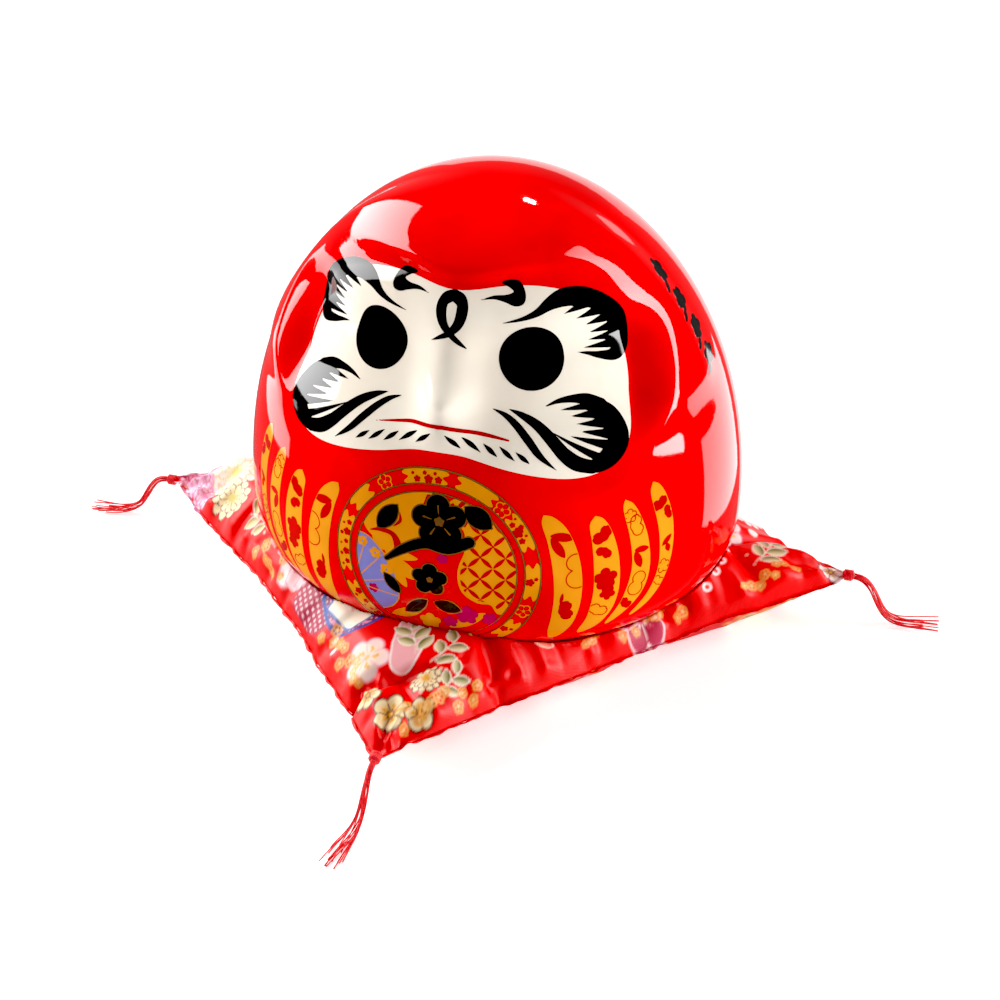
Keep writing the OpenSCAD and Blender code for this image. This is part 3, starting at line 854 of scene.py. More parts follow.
def stripes():
    golds, reds = [], []
    for side in (1, -1):
        for outline, motifs in zip(STRIPES, STRIPE_MOTIFS):
            pts = [(side * a * TO_MM, z) for a, z in outline]
            xs = [p[0] for p in pts]
            inside = fixed(within, pts)
            golds.append((inside, (min(xs) - 1, max(xs) + 1, 20, 68), 0.3))
            for f, z, r in motifs:
                x = side * TO_MM * stripe_middle(outline, z)
                moved = lambda u, v, f=f, x=x, z=z, side=side: f((u - x) * side, v - z)
                reds.append((overlap(moved, grown(inside, -0.12)), around(x, z, r), 0.2))
    place = lambda u, v: on_flank(u / TO_MM, v)
    painted("stripes_gold", golds, GOLD, place, 0.05)
    painted("stripes_red", reds, MOTIF_RED, place, 0.08)
    # a column of four small blossoms on the flank to the viewer's right
    layers = []
    for k in range(4):
        z = 108.6 - 7.3 * k
        sprig = union(fixed(plum, 0, z, 2.9, 90 + 20 * k), fixed(leaf, (-3.4, z - 4), (-0.8, z - 2), 1.5))
        layers.append((sprig, (-5, 5, z - 5, z + 4), 0.2))
    painted("flank_blossoms", layers, INK, lambda u, v: on_flank(85.5 + u / 0.62, v), 0.06)


# ---------------------------------------------------------------- the cushion
SIDE, CLOTH = 72.0, 0.8


def turned(px, py):
    return (px - py) / math.sqrt(2), (px + py) / math.sqrt(2)


def plan(u, v):
    """The sides pull in between the corners, most at the viewer's right."""
    su = np.where(u < 0, 0.02, 0.05)
    sv = np.where(v < 0, 0.085, 0.05)
    return (SIDE * u * (1 - su * u * u * (1 - v * v)), SIDE * v * (1 - sv * v * v * (1 - u * u)))


def corner_shift(u, v):
    """The front corner lies a little to the left and the right one further back and higher."""
    front = ((1 - u) / 2 * (1 - v) / 2) ** 3
    right = ((1 + u) / 2 * (1 - v) / 2) ** 3
    return -3.2 * front, 4.0 * right, 2.0 * right


def seam_z(u, v):
    return 9.6 + 4.6 * u * u * v * v


def belly_over(x, y):
    rho = np.minimum(np.hypot(x, y / DEPTH) / HALF_W, 1.0001)
    z = SEAT + np.maximum(0, WIDEST - BELLY_H * np.maximum(1 - rho ** BELLY_P, 0) ** (1 / BELLY_P))
    return np.where(rho >= 1, 99, z)


def wobble(s, seed):
    return (np.sin(s * 0.53 + seed + np.sin(s * 0.07)) + 0.45 * np.sin(s * 0.91 + 2.1 * seed)
            + 0.7 * np.sin(s * 0.23 - seed)) / 2


def cushion_start(n):
    g = np.linspace(-1, 1, n + 1)
    u, v = np.meshgrid(g, g)
    x, y = turned(*plan(u, v))
    dx, dy, dz = corner_shift(u, v)
    x, y = x + dx, y + dy
    puff = np.maximum((1 - u ** 4) * (1 - v ** 4), 0) ** 0.5
    top = seam_z(u, v) + 12.2 * puff
    m = np.maximum(abs(u), abs(v))
    low = np.maximum(0, (m - 0.55) / 0.45) ** 2 * seam_z(u, v)
    # gathers along the seams, longer folds that run in from them, and creases that meet at the corners
    for d, s, seed in ((1 - abs(u), v * SIDE + 40 * np.sign(u), 1.3),
                       (1 - abs(v), u * SIDE - 25 * np.sign(v), 4.1)):
        fade = np.exp(-d * SIDE / 8) * np.minimum(1, d * SIDE / 2.2)
        top = top + 1.5 * wobble(s, seed) * fade
        low = low - 0.9 * wobble(s, seed + 1) * fade * (low > 0.5)
        long_fade = np.exp(-((d * SIDE - 13) / 11) ** 2)
        crease = 1 - np.abs(np.sin(s * 0.118 + 0.02 * d * SIDE * np.sin(s * 0.05) + seed))
        top = top + (0.9 - 3.4 * crease ** 2.2) * np.abs(np.sin(s * 0.047 + 2 * seed)) * long_fade
    for cu in (-1, 1):
        for cv in (-1, 1):
            du, dv = 1 - u * cu, 1 - v * cv
            r = np.hypot(du, dv) * SIDE
            rays = np.sin(9 * np.arctan2(dv, du) + cu + 2 * cv)
            top = top + 1.5 * rays * np.exp(-r / 20) * np.minimum(1, r / 7)
    top, low = top + dz, low + dz * (low > 0.5)
    return u, v, np.stack([x, y, top], -1), np.stack([x, y, np.maximum(low, 0)], -1)


def cloth_run(top, low):
    """Both panels as one closed bag, blown up a little so that the cloth settles and puckers."""
    n = top.shape[0]
    edge = np.zeros((n, n), bool)
    edge[0], edge[-1], edge[:, 0], edge[:, -1] = True, True, True, True
    ids_low = np.where(edge, np.arange(n * n).reshape(n, n), 0)
    ids_low[~edge] = n * n + np.arange((~edge).sum())
    verts = np.vstack([top.reshape(-1, 3), low[~edge]])
    T = np.arange(n * n).reshape(n, n)
    faces = []
    for j in range(n - 1):
        for i in range(n - 1):
            faces.append((T[j, i], T[j, i + 1], T[j + 1, i + 1], T[j + 1, i]))
            faces.append((ids_low[j, i], ids_low[j + 1, i], ids_low[j + 1, i + 1], ids_low[j, i + 1]))
    me = bpy.data.meshes.new("cloth_run")
    me.from_pydata((verts * MM).tolist(), [], [tuple(int(k) for k in f) for f in faces])
    ob = bpy.data.objects.new("cloth_run", me)
    bpy.context.scene.collection.objects.link(ob)
    pins = ob.vertex_groups.new(name="pins")
    pins.add([int(T[a, b]) for a in (0, 1, -2, -1) for b in (0, 1, -2, -1)], 1.0, "REPLACE")
    mod = ob.modifiers.new("cloth", "CLOTH")
    c = mod.settings
    c.quality, c.mass = 6, 0.12
    c.tension_stiffness, c.compression_stiffness, c.shear_stiffness, c.bending_stiffness = 12, 12, 4, 0.15
    c.use_pressure, c.uniform_pressure_force = True, 4.0
    c.shrink_min = -0.035
    c.vertex_group_mass = "pins"
    c.effector_weights.gravity = 0
    mod.collision_settings.use_collision = False
    scene = bpy.context.scene
    for f in range(1, 21):
        scene.frame_set(f)
    dg = bpy.context.evaluated_depsgraph_get()
    co = np.zeros(len(verts) * 3)
    ev = ob.evaluated_get(dg).to_mesh()
    ev.vertices.foreach_get("co", co)
    scene.frame_set(1)
    moved = co.reshape(-1, 3) / MM - verts
    bpy.data.objects.remove(ob)
    size = np.linalg.norm(moved, axis=1)
    moved *= (np.minimum(size, 3.5) / np.maximum(size, 1e-6))[:, None]
    new = verts + moved
    out_low = new[:n * n].reshape(n, n, 3).copy()
    out_low[~edge] = new[n * n:]
    return new[:n * n].reshape(n, n, 3), out_low


def finer(grid, n):
    """Smooth resampling of a grid of points to n cells each way."""
    m = grid.shape[0] - 1
    t = np.linspace(0, m, n + 1)
    i = np.minimum(t.astype(int), m - 1)
    f = t - i
    W = np.zeros((n + 1, m + 3))
    k = np.arange(n + 1)
    W[k, i] += -0.5 * f + f * f - 0.5 * f ** 3
    W[k, i + 1] += 1 - 2.5 * f * f + 1.5 * f ** 3
    W[k, i + 2] += 0.5 * f + 2 * f * f - 1.5 * f ** 3
    W[k, i + 3] += -0.5 * f * f + 0.5 * f ** 3
    p = np.concatenate([2 * grid[:1] - grid[1:2], grid, 2 * grid[-1:] - grid[-2:-1]], 0)
    p = np.concatenate([2 * p[:, :1] - p[:, 1:2], p, 2 * p[:, -1:] - p[:, -2:-1]], 1)
    return np.einsum("ai,bj,ijc->abc", W, W, p)


class Cloth:
    """The printed cloth's colours, painted over a grid of cloth points in mm."""

    def __init__(self, n, mirror=1):
        g = np.linspace(-SIDE, SIDE, n + 1)
        self.u, self.v = np.meshgrid(g * mirror, g)
        self.step = g[1] - g[0]
        self.rgb = np.empty(self.u.shape + (3,))
        self.rgb[:] = linear((240, 6, 8))[:3]
        blotch = 0.5 + 0.5 * np.sin(self.u * 0.11 + 2 * np.sin(self.v * 0.07)) * np.sin(self.v * 0.09 + 1)
        self.rgb *= (0.94 + 0.1 * blotch)[..., None]
        self.mirror = mirror

    def near(self, cx, cy, r):
        cx = cx * self.mirror
        i = slice(max(0, int((cx - r + SIDE) / self.step)), max(0, int((cx + r + SIDE) / self.step) + 2))
        j = slice(max(0, int((cy - r + SIDE) / self.step)), max(0, int((cy + r + SIDE) / self.step) + 2))
        return (j, i), self.u[j, i], self.v[j, i]

    def lay(self, where, field, colour, soft=None):
        soft = soft or self.step * 1.1
        m = np.clip(0.5 - field / soft, 0, 1)[..., None]
        c = np.asarray(colour, float)
        if c.ndim == 1:
            c = np.array(linear(colour)[:3])
        self.rgb[where] = self.rgb[where] * (1 - m) + c * m

    def shade(self, t, a, b):
        a, b = np.array(linear(a)[:3]), np.array(linear(b)[:3])
        t = np.clip(t, 0, 1)[..., None]
        return a * (1 - t) + b * t

    def blossom(self, cx, cy, r, turn, heart, rim, edge, pip=(240, 196, 60)):
        """A plum blossom: petals that shade from heart to rim, a pale outline and stamens."""
        w, u, v = self.near(cx, cy, r * 1.3)
        if not u.size:
            return
        d = np.hypot(u - cx, v - cy)
        f = plum(u, v, cx, cy, r, turn)
        self.lay(w, f - 0.5, edge)
        self.lay(w, f, self.shade(d / r, heart, rim))
        for k in range(5):
            a = math.radians(turn + 36 + 72 * k)
            tip = (cx + 0.62 * r * math.cos(a), cy + 0.62 * r * math.sin(a), 0.3)
            self.lay(w, stroke(u, v, [(cx, cy, 0.5), tip], 2), edge)
            for da, q in ((30, 0.42), (42, 0.5), (36, 0.34)):
                b = math.radians(turn + da - 36 + 72 * k)
                x, y = cx + q * r * math.cos(b), cy + q * r * math.sin(b)
                self.lay(w, stroke(u, v, [(cx, cy, 0.25), (x, y, 0.25)], 2), edge)
                self.lay(w, np.hypot(u - x, v - y) - 0.07 * r, pip)
        self.lay(w, d - 0.13 * r, pip)

    def mum(self, cx, cy, r, heart, rim, edge, rays=15):
        """A chrysanthemum: two rings of long petals round a small heart."""
        w, u, v = self.near(cx, cy, r * 1.15)
        if not u.size:
            return
        d, a = np.hypot(u - cx, v - cy), np.arctan2(v - cy, u - cx)
        for k, q in ((0, 1.0), (0.5, 0.68)):
            c = np.abs(np.cos((a * rays + k * 2 * np.pi) / 2))
            f = d - r * q * (0.74 + 0.26 * c ** 0.6)
            self.lay(w, f - 0.35, edge)
            self.lay(w, f, self.shade(d / (r * q), heart, rim))
            self.lay(w, np.maximum((c - 0.16) * d * 0.35, 0.3 * r * q - d) + np.maximum(f, 0), edge)
        self.lay(w, d - 0.2 * r, heart)

    def sprig(self, cx, cy, size, turn, leaves=5, body=(232, 222, 178), dark=(122, 116, 52)):
        """Pointed leaves in pairs along a thin stem."""
        w, u, v = self.near(cx, cy, size * 1.25)
        if not u.size:
            return
        ca, sa = math.cos(math.radians(turn)), math.sin(math.radians(turn))
        at = lambda t, s: (cx + size * (t * ca - s * sa), cy + size * (t * sa + s * ca))
        stem = [(*at(-0.9, 0.1), 0.5), (*at(0, -0.06), 0.45), (*at(0.6, 0.05), 0.35)]
        self.lay(w, stroke(u, v, stem, 4), (244, 206, 190))
        for k in range(leaves):
            t = -0.75 + 1.3 * k / leaves
            side = 1 if k % 2 else -1
            a, b = at(t, 0.03 * side), at(t + 0.42, side * 0.56 - 0.06)
            f = leaf(u, v, a, b, 0.36 * size)
            q = (u - a[0]) * (b[1] - a[1]) - (v - a[1]) * (b[0] - a[0])
            self.lay(w, f - 0.38, (250, 244, 226))
            self.lay(w, f, self.shade(0.5 + side * q / (size * size * 0.16), body, dark))

    def dots(self, points, r, colour, hollow=False):
        for x, y in points:
            w, u, v = self.near(x, y, r * 2)
            if u.size:
                f = np.hypot(u - x, v - y)
                self.lay(w, np.abs(f - r * 0.8) - r * 0.3 if hollow else f - r, colour)

    def blob(self, pts, colour, edge=None, w_edge=0.7, pattern=None):
        p = np.array(pts, float)
        c, r = p.mean(0), np.abs(p - p.mean(0)).max() + 2
        w, u, v = self.near(c[0], c[1], r)
        f = within(u, v, pts)
        self.lay(w, f, colour)
        if pattern:
            pattern(w, u, v, f)
        if edge:
            self.lay(w, np.abs(f) - w_edge / 2, edge)

    def checks(self, level, k, colour):
        """A pattern of small round-cornered squares for blob()."""
        net = lambda u, v: level - np.cos(u * k) * np.cos(v * k)
        return lambda w, u, v, f: self.lay(w, np.maximum(net(u, v), f + 0.3), colour)

    def paint(self):
        white, pink, rose, wine = (252, 244, 240), (242, 168, 176), (214, 74, 104), (150, 12, 40)
        gold, cream, brown = (228, 168, 60), (250, 238, 196), (104, 24, 16)
        # along the front-left side, from the left corner to the front corner
        for x, y in ((-68, 68), (-64, 70), (-69, 62), (-65, 65), (-60, 69), (-69, 57), (-65, 60)):
            self.mum(x, y, 3.6, (240, 150, 190), (252, 228, 240), (220, 90, 150), 9)
        self.mum(-52, 64, 8.2, cream, white, (236, 170, 190), 17)
        self.mum(-58, 55, 8.2, (244, 226, 130), white, (230, 190, 120), 15)
        self.mum(-64, 47, 6.4, (196, 180, 70), cream, brown, 11)
        self.mum(-42, 66, 6, (240, 170, 200), white, (206, 84, 150), 13)
        self.sprig(-46, 50, 10, 120, 5, (214, 196, 130), (112, 100, 40))
        self.sprig(-36, 58, 8, 170, 4, (214, 196, 130), (112, 100, 40))
        self.sprig(-62, 31, 8.5, 100, 5, (240, 226, 160), (150, 126, 50))
        self.sprig(-55, 37, 5.6, 60, 3, (240, 226, 160), (150, 126, 50))
        self.dots([(-57, 27), (-54, 24), (-52, 29)], 1.3, cream)
        self.blossom(-57, 15, 7.6, 70, (120, 4, 26), (206, 30, 66), (255, 226, 230), pink)
        for k in range(4):
            x, y = -66 + 1.6 * k, 6 - 3.4 * k
            self.blob([(x - 3.4, y + 2.4), (x + 1, y + 3.4), (x + 4.4, y + 0.4), (x + 1.6, y - 3),
                       (x - 3, y - 2)],
                      (250, 226 - 8 * k, 226 - 6 * k), pink, 0.5)
        self.blob([(-56, 4), (-49, 6), (-44, 2), (-48, -3), (-54, -3)], (150, 138, 60), white, 0.5,
                  self.checks(0.4, 2.2, (222, 206, 120)))
        self.blob([(-44, 8), (-36, 12), (-26, 6), (-32, 2), (-42, 3)], (206, 30, 66), white, 0.5)

        def marbled(w, u, v, f):
            waves = np.sin(u * 1.1 + 2 * np.sin(v * 0.7)) * 0.8 + np.sin(v * 1.3) * 0.5 - 0.5
            self.lay(w, np.maximum(waves, f + 0.6), (250, 226, 222))
            self.lay(w, np.maximum(0.9 - np.sin(u * 0.9 - v * 0.8 + 1), f + 0.6), wine)

        self.blob([(-58, -1), (-48, 3), (-38, 1), (-32, -5), (-38, -9), (-50, -9), (-60, -8)], rose, white, 0.6,
                  marbled)

        def slanted(w, u, v, f):
            net = 0.45 - np.cos(u * 2.4 + v) * np.cos(v * 2.4 - u)
            self.lay(w, np.maximum(net, f + 0.3), (248, 214, 216))

        self.blob([(-70, -4), (-64, -3), (-61, -10), (-65, -20), (-70, -17)], (172, 40, 76), None, 0.5, slanted)
        drum = [(-62, -12), (-50, -9), (-38, -10), (-32, -14), (-33, -22), (-40, -27), (-52, -31), (-61, -30),
                (-65, -22)]
        hide = [(-63, -16), (-53, -13), (-46, -19), (-50, -27), (-61, -28)]

        def drum_face(w, u, v, f):
            self.checks(0.5, 3, (244, 196, 208))(w, u, v, f)
            self.lay(w, np.maximum(np.abs(np.sin(u * 0.5 + v * 0.42)) * 2 - 0.7, f + 0.4), (236, 150, 176))
            self.lay(w, np.maximum(within(u, v, hide), f + 0.2), (250, 244, 222))
            self.lay(w, np.abs(within(u, v, hide)) - 0.4, (70, 120, 190))

        self.blob(drum, (142, 30, 78), (44, 84, 170), 1.2, drum_face)
        self.dots([(-66, -26), (-68, -30), (-30, -28), (-28, -32)], 1.1, white)
        self.blossom(-62, -42, 6.4, 100, (246, 200, 150), (250, 226, 226), pink, gold)
        self.blob([(-54, -42), (-48, -36), (-42, -38), (-46, -46), (-54, -52), (-58, -49)],
                  (244, 176, 180), white, 0.5)
        self.sprig(-48, -42, 8, 75, 5)
        self.sprig(-42, -52, 7.5, 20, 4)
        self.sprig(-35, -38, 7, 95, 4)
        self.mum(-45, -32, 3.6, gold, cream, (236, 190, 60), 9)
        self.mum(-29, -41, 3.4, gold, cream, (236, 190, 60), 9)
        self.mum(-33, -49, 2.8, gold, white, (236, 190, 60), 8)
        # the front corner
        self.blossom(-64, -63, 5.2, 45, gold, cream, brown, (240, 170, 30))
        self.blossom(-57, -67, 3.8, 10, gold, cream, brown, (240, 170, 30))
        self.blossom(-67, -54, 3.6, 30, gold, cream, brown, (240, 170, 30))
        self.mum(-52, -59, 4.4, gold, cream, brown, 11)
        self.sprig(-45, -62, 6, 25, 4)
        # along the front-right side
        self.dots([(-12, -50), (-4, -56), (8, -49)], 1.5, white)
        self.sprig(-14, -58, 8, 20, 3, (250, 120, 90), (222, 30, 20))
        self.blossom(12, -66, 7.2, 20, wine, (206, 66, 100), (255, 232, 232), rose)
        self.blob([(-6, -52), (0, -50), (2, -56), (-4, -60)], cream, white, 0.5)
        self.sprig(22, -50, 7, 160, 4, (250, 150, 110), rose)
        self.dots([(30, -57), (33, -60), (36, -56), (38, -60), (41, -57), (34, -64), (30, -62)],
                  1.25, white, True)
        self.blossom(40, -42, 7, 50, (150, 70, 20), (186, 104, 30), gold, gold)
        self.blossom(50, -46, 5.2, 20, pink, white, rose)
        self.blossom(44, -33, 5.4, 80, pink, white, rose)
        self.blossom(33, -34, 5, 0, (150, 70, 20), (176, 96, 30), gold, gold)
        self.sprig(57, -57, 7.5, 35, 5)
        self.dots([(54, -38), (46, -52), (59, -47)], 1.5, white)
        self.blossom(69, -69, 3.2, 45, (250, 230, 224), white, wine)
        # along the back-right side
        self.mum(64, -36, 7, (250, 226, 226), white, pink, 13)
        self.mum(67, -24, 5.5, white, pink, white, 11)
        self.sprig(60, -8, 10, 80, 5)
        self.blossom(56, 12, 8.4, 40, (250, 214, 214), white, pink)
        self.blossom(66, 22, 5.6, 0, gold, cream, brown)
        self.dots([(50, 0), (47, 4), (62, 4), (66, -2)], 1.4, white)
        self.sprig(58, 34, 9, 110, 5)
        self.mum(60, 54, 9, gold, cream, rose)
        self.blossom(48, 47, 7, 25, wine, (214, 40, 78), (255, 214, 214), pink)
        self.blossom(67, 67, 5.5, 45, gold, cream, brown)
        # along the back-left side
        self.sprig(36, 60, 10, 170, 5)
        self.blossom(20, 58, 8, 75, (246, 214, 150), (250, 226, 224), pink, gold)
        self.blob([(4, 66), (14, 62), (16, 54), (6, 50), (-2, 56)], (152, 34, 84), (44, 84, 170), 1.0,
                  self.checks(0.5, 3, (244, 196, 208)))
        self.mum(-10, 60, 7.5, pink, white, (206, 84, 150))
        self.sprig(-24, 58, 9, 10, 5)
        self.dots([(-16, 48), (-2, 46), (28, 48), (32, 66), (-30, 66)], 1.4, white)
        # hardly seen, under and behind the doll
        for x, y, r, t in ((-30, 30, 8, 20), (28, 30, 8, 60), (0, 34, 7, 0), (-32, 6, 6, 40), (30, -4, 7, 10),
                           (0, 0, 9, 30), (6, -28, 7, 50), (-12, -20, 6, 80), (20, 12, 6, 33),
                           (-12, 16, 6, 12)):
            self.blossom(x, y, r, t, pink, white, rose)
        # clusters of small gold figures beside the seams
        rng = np.random.default_rng(4)
        for s0, s1, side in ((-62, -38, 0), (-6, 10, 0), (14, 26, 0), (44, 60, 0), (-46, -20, 1), (8, 24, 1),
                             (-50, -30, 2), (-8, 12, 2), (-30, -8, 3), (36, 52, 3)):
            for s in np.arange(s0, s1, 2.2):
                q = 63.4 + rng.uniform(0, 6)
                x, y = ((s, -q), (-q, s), (s, q), (q, s))[side]
                w, u, v = self.near(x, y, 2.6)
                f = plum(u, v, x, y, rng.uniform(0.9, 1.6), rng.uniform(0, 72))
                self.lay(w, np.abs(f) - 0.28, (244, 176, 92))
                self.lay(w, np.hypot(u - x, v - y) - 0.35, (250, 214, 150))
        for x, y in rng.uniform(-64, 64, (60, 2)):
            if max(abs(x), abs(y)) > 44:
                self.dots([(x, y)], 0.5, (250, 200, 180))
        return self.rgb


SATIN = Mat("printed_satin", Roughness=0.4, Sheen_Weight=0.04, Sheen_Roughness=0.4, Specular_IOR_Level=0.34)
_pt = SATIN.node("ShaderNodeVectorRotate", {"Vector": SATIN.coords(), "Angle": math.radians(45)},
                 rotation_type="Z_AXIS")
_xyz = SATIN.node("ShaderNodeSeparateXYZ", {0: _pt.outputs[0]})
_warp = SATIN.math("SINE", SATIN.math("MULTIPLY", _xyz.outputs[0], 2 * math.pi / 0.00034))
_weft = SATIN.math("SINE", SATIN.math("MULTIPLY", _xyz.outputs[1], 2 * math.pi / 0.00052))
_weave = SATIN.math("ADD", SATIN.math("MULTIPLY", _warp, 0.65), SATIN.math("MULTIPLY", _weft, 0.35))
_print = SATIN.node("ShaderNodeAttribute", attribute_name="print").outputs["Color"]
_clouding = SATIN.ramp(SATIN.noise(45, 3), [(0.3, (0, 0, 0)), (0.75, (0.12,) * 3)])
_tone = SATIN.mix(_clouding, _print, (0.5, 0.0, 0.0, 1), "MULTIPLY")
_tone = SATIN.mix(SATIN.ramp(_weave, [(0.2, (0.09,) * 3), (0.8, (0, 0, 0))]), _tone, (0.1, 0, 0, 1), "MULTIPLY")
SATIN.to("Base Color", _tone)
SATIN.to("Normal", SATIN.bump(_weave, 0.12, 0.00008, SATIN.bump(SATIN.noise(120, 3), 0.12, 0.0012)))

THREAD = Mat("red_thread", Roughness=0.6, Sheen_Weight=0.4, Sheen_Roughness=0.3)
THREAD.to("Base Color", THREAD.ramp(THREAD.noise(900, 2), [(0.3, linear((220, 10, 20))),
                                                          (0.7, linear((246, 48, 58)))]))
THREAD.to("Normal", THREAD.bump(THREAD.noise(4200, 2), 0.3, 0.00008))


def cushion():
    n = 60
    u, v, top, low = cushion_start(n)
    t2, l2 = cloth_run(top, low)
    keep = np.clip((np.hypot(top[..., 0], top[..., 1] / DEPTH) - 52) / 12, 0, 1)[..., None]
    hold = np.clip((1 - np.abs(u) * np.abs(v)) / 0.12, 0, 1)[..., None]
    top = top + (t2 - top) * keep * hold
    low = low + (l2 - low) * np.clip(low[..., 2:] / 3, 0, 1) * hold
    N, M = 360, 180
    top, low = finer(top, N), finer(low, M)
    low[[0, -1]], low[:, [0, -1]] = top[::2, ::2][[0, -1]], top[::2, ::2][:, [0, -1]]
    lid = belly_over(top[..., 0], top[..., 1]) - 0.35
    gap = lid - top[..., 2]
    top[..., 2] = np.where(gap < 1.2, top[..., 2] + gap - 1.2 * ramp(-1.5, 1.2, gap) * 0.42 - 0.05, top[..., 2])
    top[..., 2] = np.minimum(top[..., 2], lid)
    low[..., 2] = np.maximum(low[..., 2], 0.05)
    verts = np.vstack([top.reshape(-1, 3), low.reshape(-1, 3)])
    T = np.arange((N + 1) ** 2).reshape(N + 1, N + 1)
    B = (N + 1) ** 2 + np.arange((M + 1) ** 2).reshape(M + 1, M + 1)
    share = T[::2, ::2]
    B[[0, -1]], B[:, [0, -1]] = share[[0, -1]], share[:, [0, -1]]
    f1 = np.stack([T[:-1, :-1], T[:-1, 1:], T[1:, 1:], T[1:, :-1]], -1).reshape(-1, 4)
    f2 = np.stack([B[:-1, :-1], B[1:, :-1], B[1:, 1:], B[:-1, 1:]], -1).reshape(-1, 4)
    faces = np.vstack([f1, f2])
    used, back = np.unique(faces, return_inverse=True)
    faces = back.reshape(-1, 4).tolist()
    ob = piece("cushion_cover", verts[used], faces, [SATIN.m], "cushion")
    prints = Cloth(N).paint(), Cloth(M, -1).paint()
    rgb = np.vstack([c.reshape(-1, 3) for c in prints])[used]
    layer = ob.data.color_attributes.new("print", "FLOAT_COLOR", "POINT")
    layer.data.foreach_set("color", np.hstack([rgb, np.ones((len(rgb), 1))]).astype(np.float32).ravel())
    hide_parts("cushion_top_panel", "cushion_bottom_panel", "cushion_filling")
    # the folded seam that stands out all round
    loop = np.vstack([top[0, :-1], top[:-1, -1], top[-1, :0:-1], top[:0:-1, 0]])[::2]
    out = loop - np.array([0, 0, 1]) * loop[:, 2:]
    out /= np.linalg.norm(out, axis=1)[:, None]
    s = np.arange(len(loop))
    w = 0.44 + 0.12 * np.sin(s * 0.9) + 0.08 * np.sin(s * 0.37)
    centre = loop + out * (0.25 + 0.22 * np.sin(s * 0.62) + 0.12 * np.sin(s * 1.37))[:, None]
    t = np.roll(centre, -1, 0) - np.roll(centre, 1, 0)
    t /= np.linalg.norm(t, axis=1)[:, None]
    side = np.cross(t, [0, 0, 1.0])
    side /= np.linalg.norm(side, axis=1)[:, None]
    up = np.cross(side, t)
    a = 2 * np.pi * np.arange(8) / 8
    section = np.cos(a)[None, :, None] * side[:, None] + 0.55 * np.sin(a)[None, :, None] * up[:, None]
    ring = centre[:, None] + w[:, None, None] * section
    ring = ring.reshape(-1, 3)
    m = len(loop)
    faces = [(i * 8 + k, i * 8 + (k + 1) % 8, ((i + 1) % m) * 8 + (k + 1) % 8, ((i + 1) % m) * 8 + k)
             for i in range(m) for k in range(8)]
    seam = piece("cushion_seam", ring, faces, [SATIN.m], "cushion")
    layer = seam.data.color_attributes.new("print", "FLOAT_COLOR", "POINT")
    tint = prints[0]
    rim = np.vstack([tint[2, :-1], tint[:-1, -3], tint[-3, :0:-1], tint[:0:-1, 2]])[::2]
    shade = np.repeat(np.hstack([rim * 0.85, np.ones((m, 1))]), 8, axis=0)
    layer.data.foreach_set("color", shade.astype(np.float32).ravel())


# ---------------------------------------------------------------- knots and tassels
KNOT_X, KNOT_Z, KNOT_LEN = 72 * math.sqrt(2) - 1.2, 14.2, 3.0
ROUTE = [(0, 0, 14.2), (2.2, 0, 13.8), (4, 0.02, 12.6), (5.6, 0.05, 10.6), (7, 0.1, 8.2), (8.4, 0.16, 5.8),
         (10.2, 0.26, 3.6), (12.6, 0.4, 2.2), (15.6, 0.58, 1.5), (19, 0.78, 1.27), (25, 1, 1.25)]


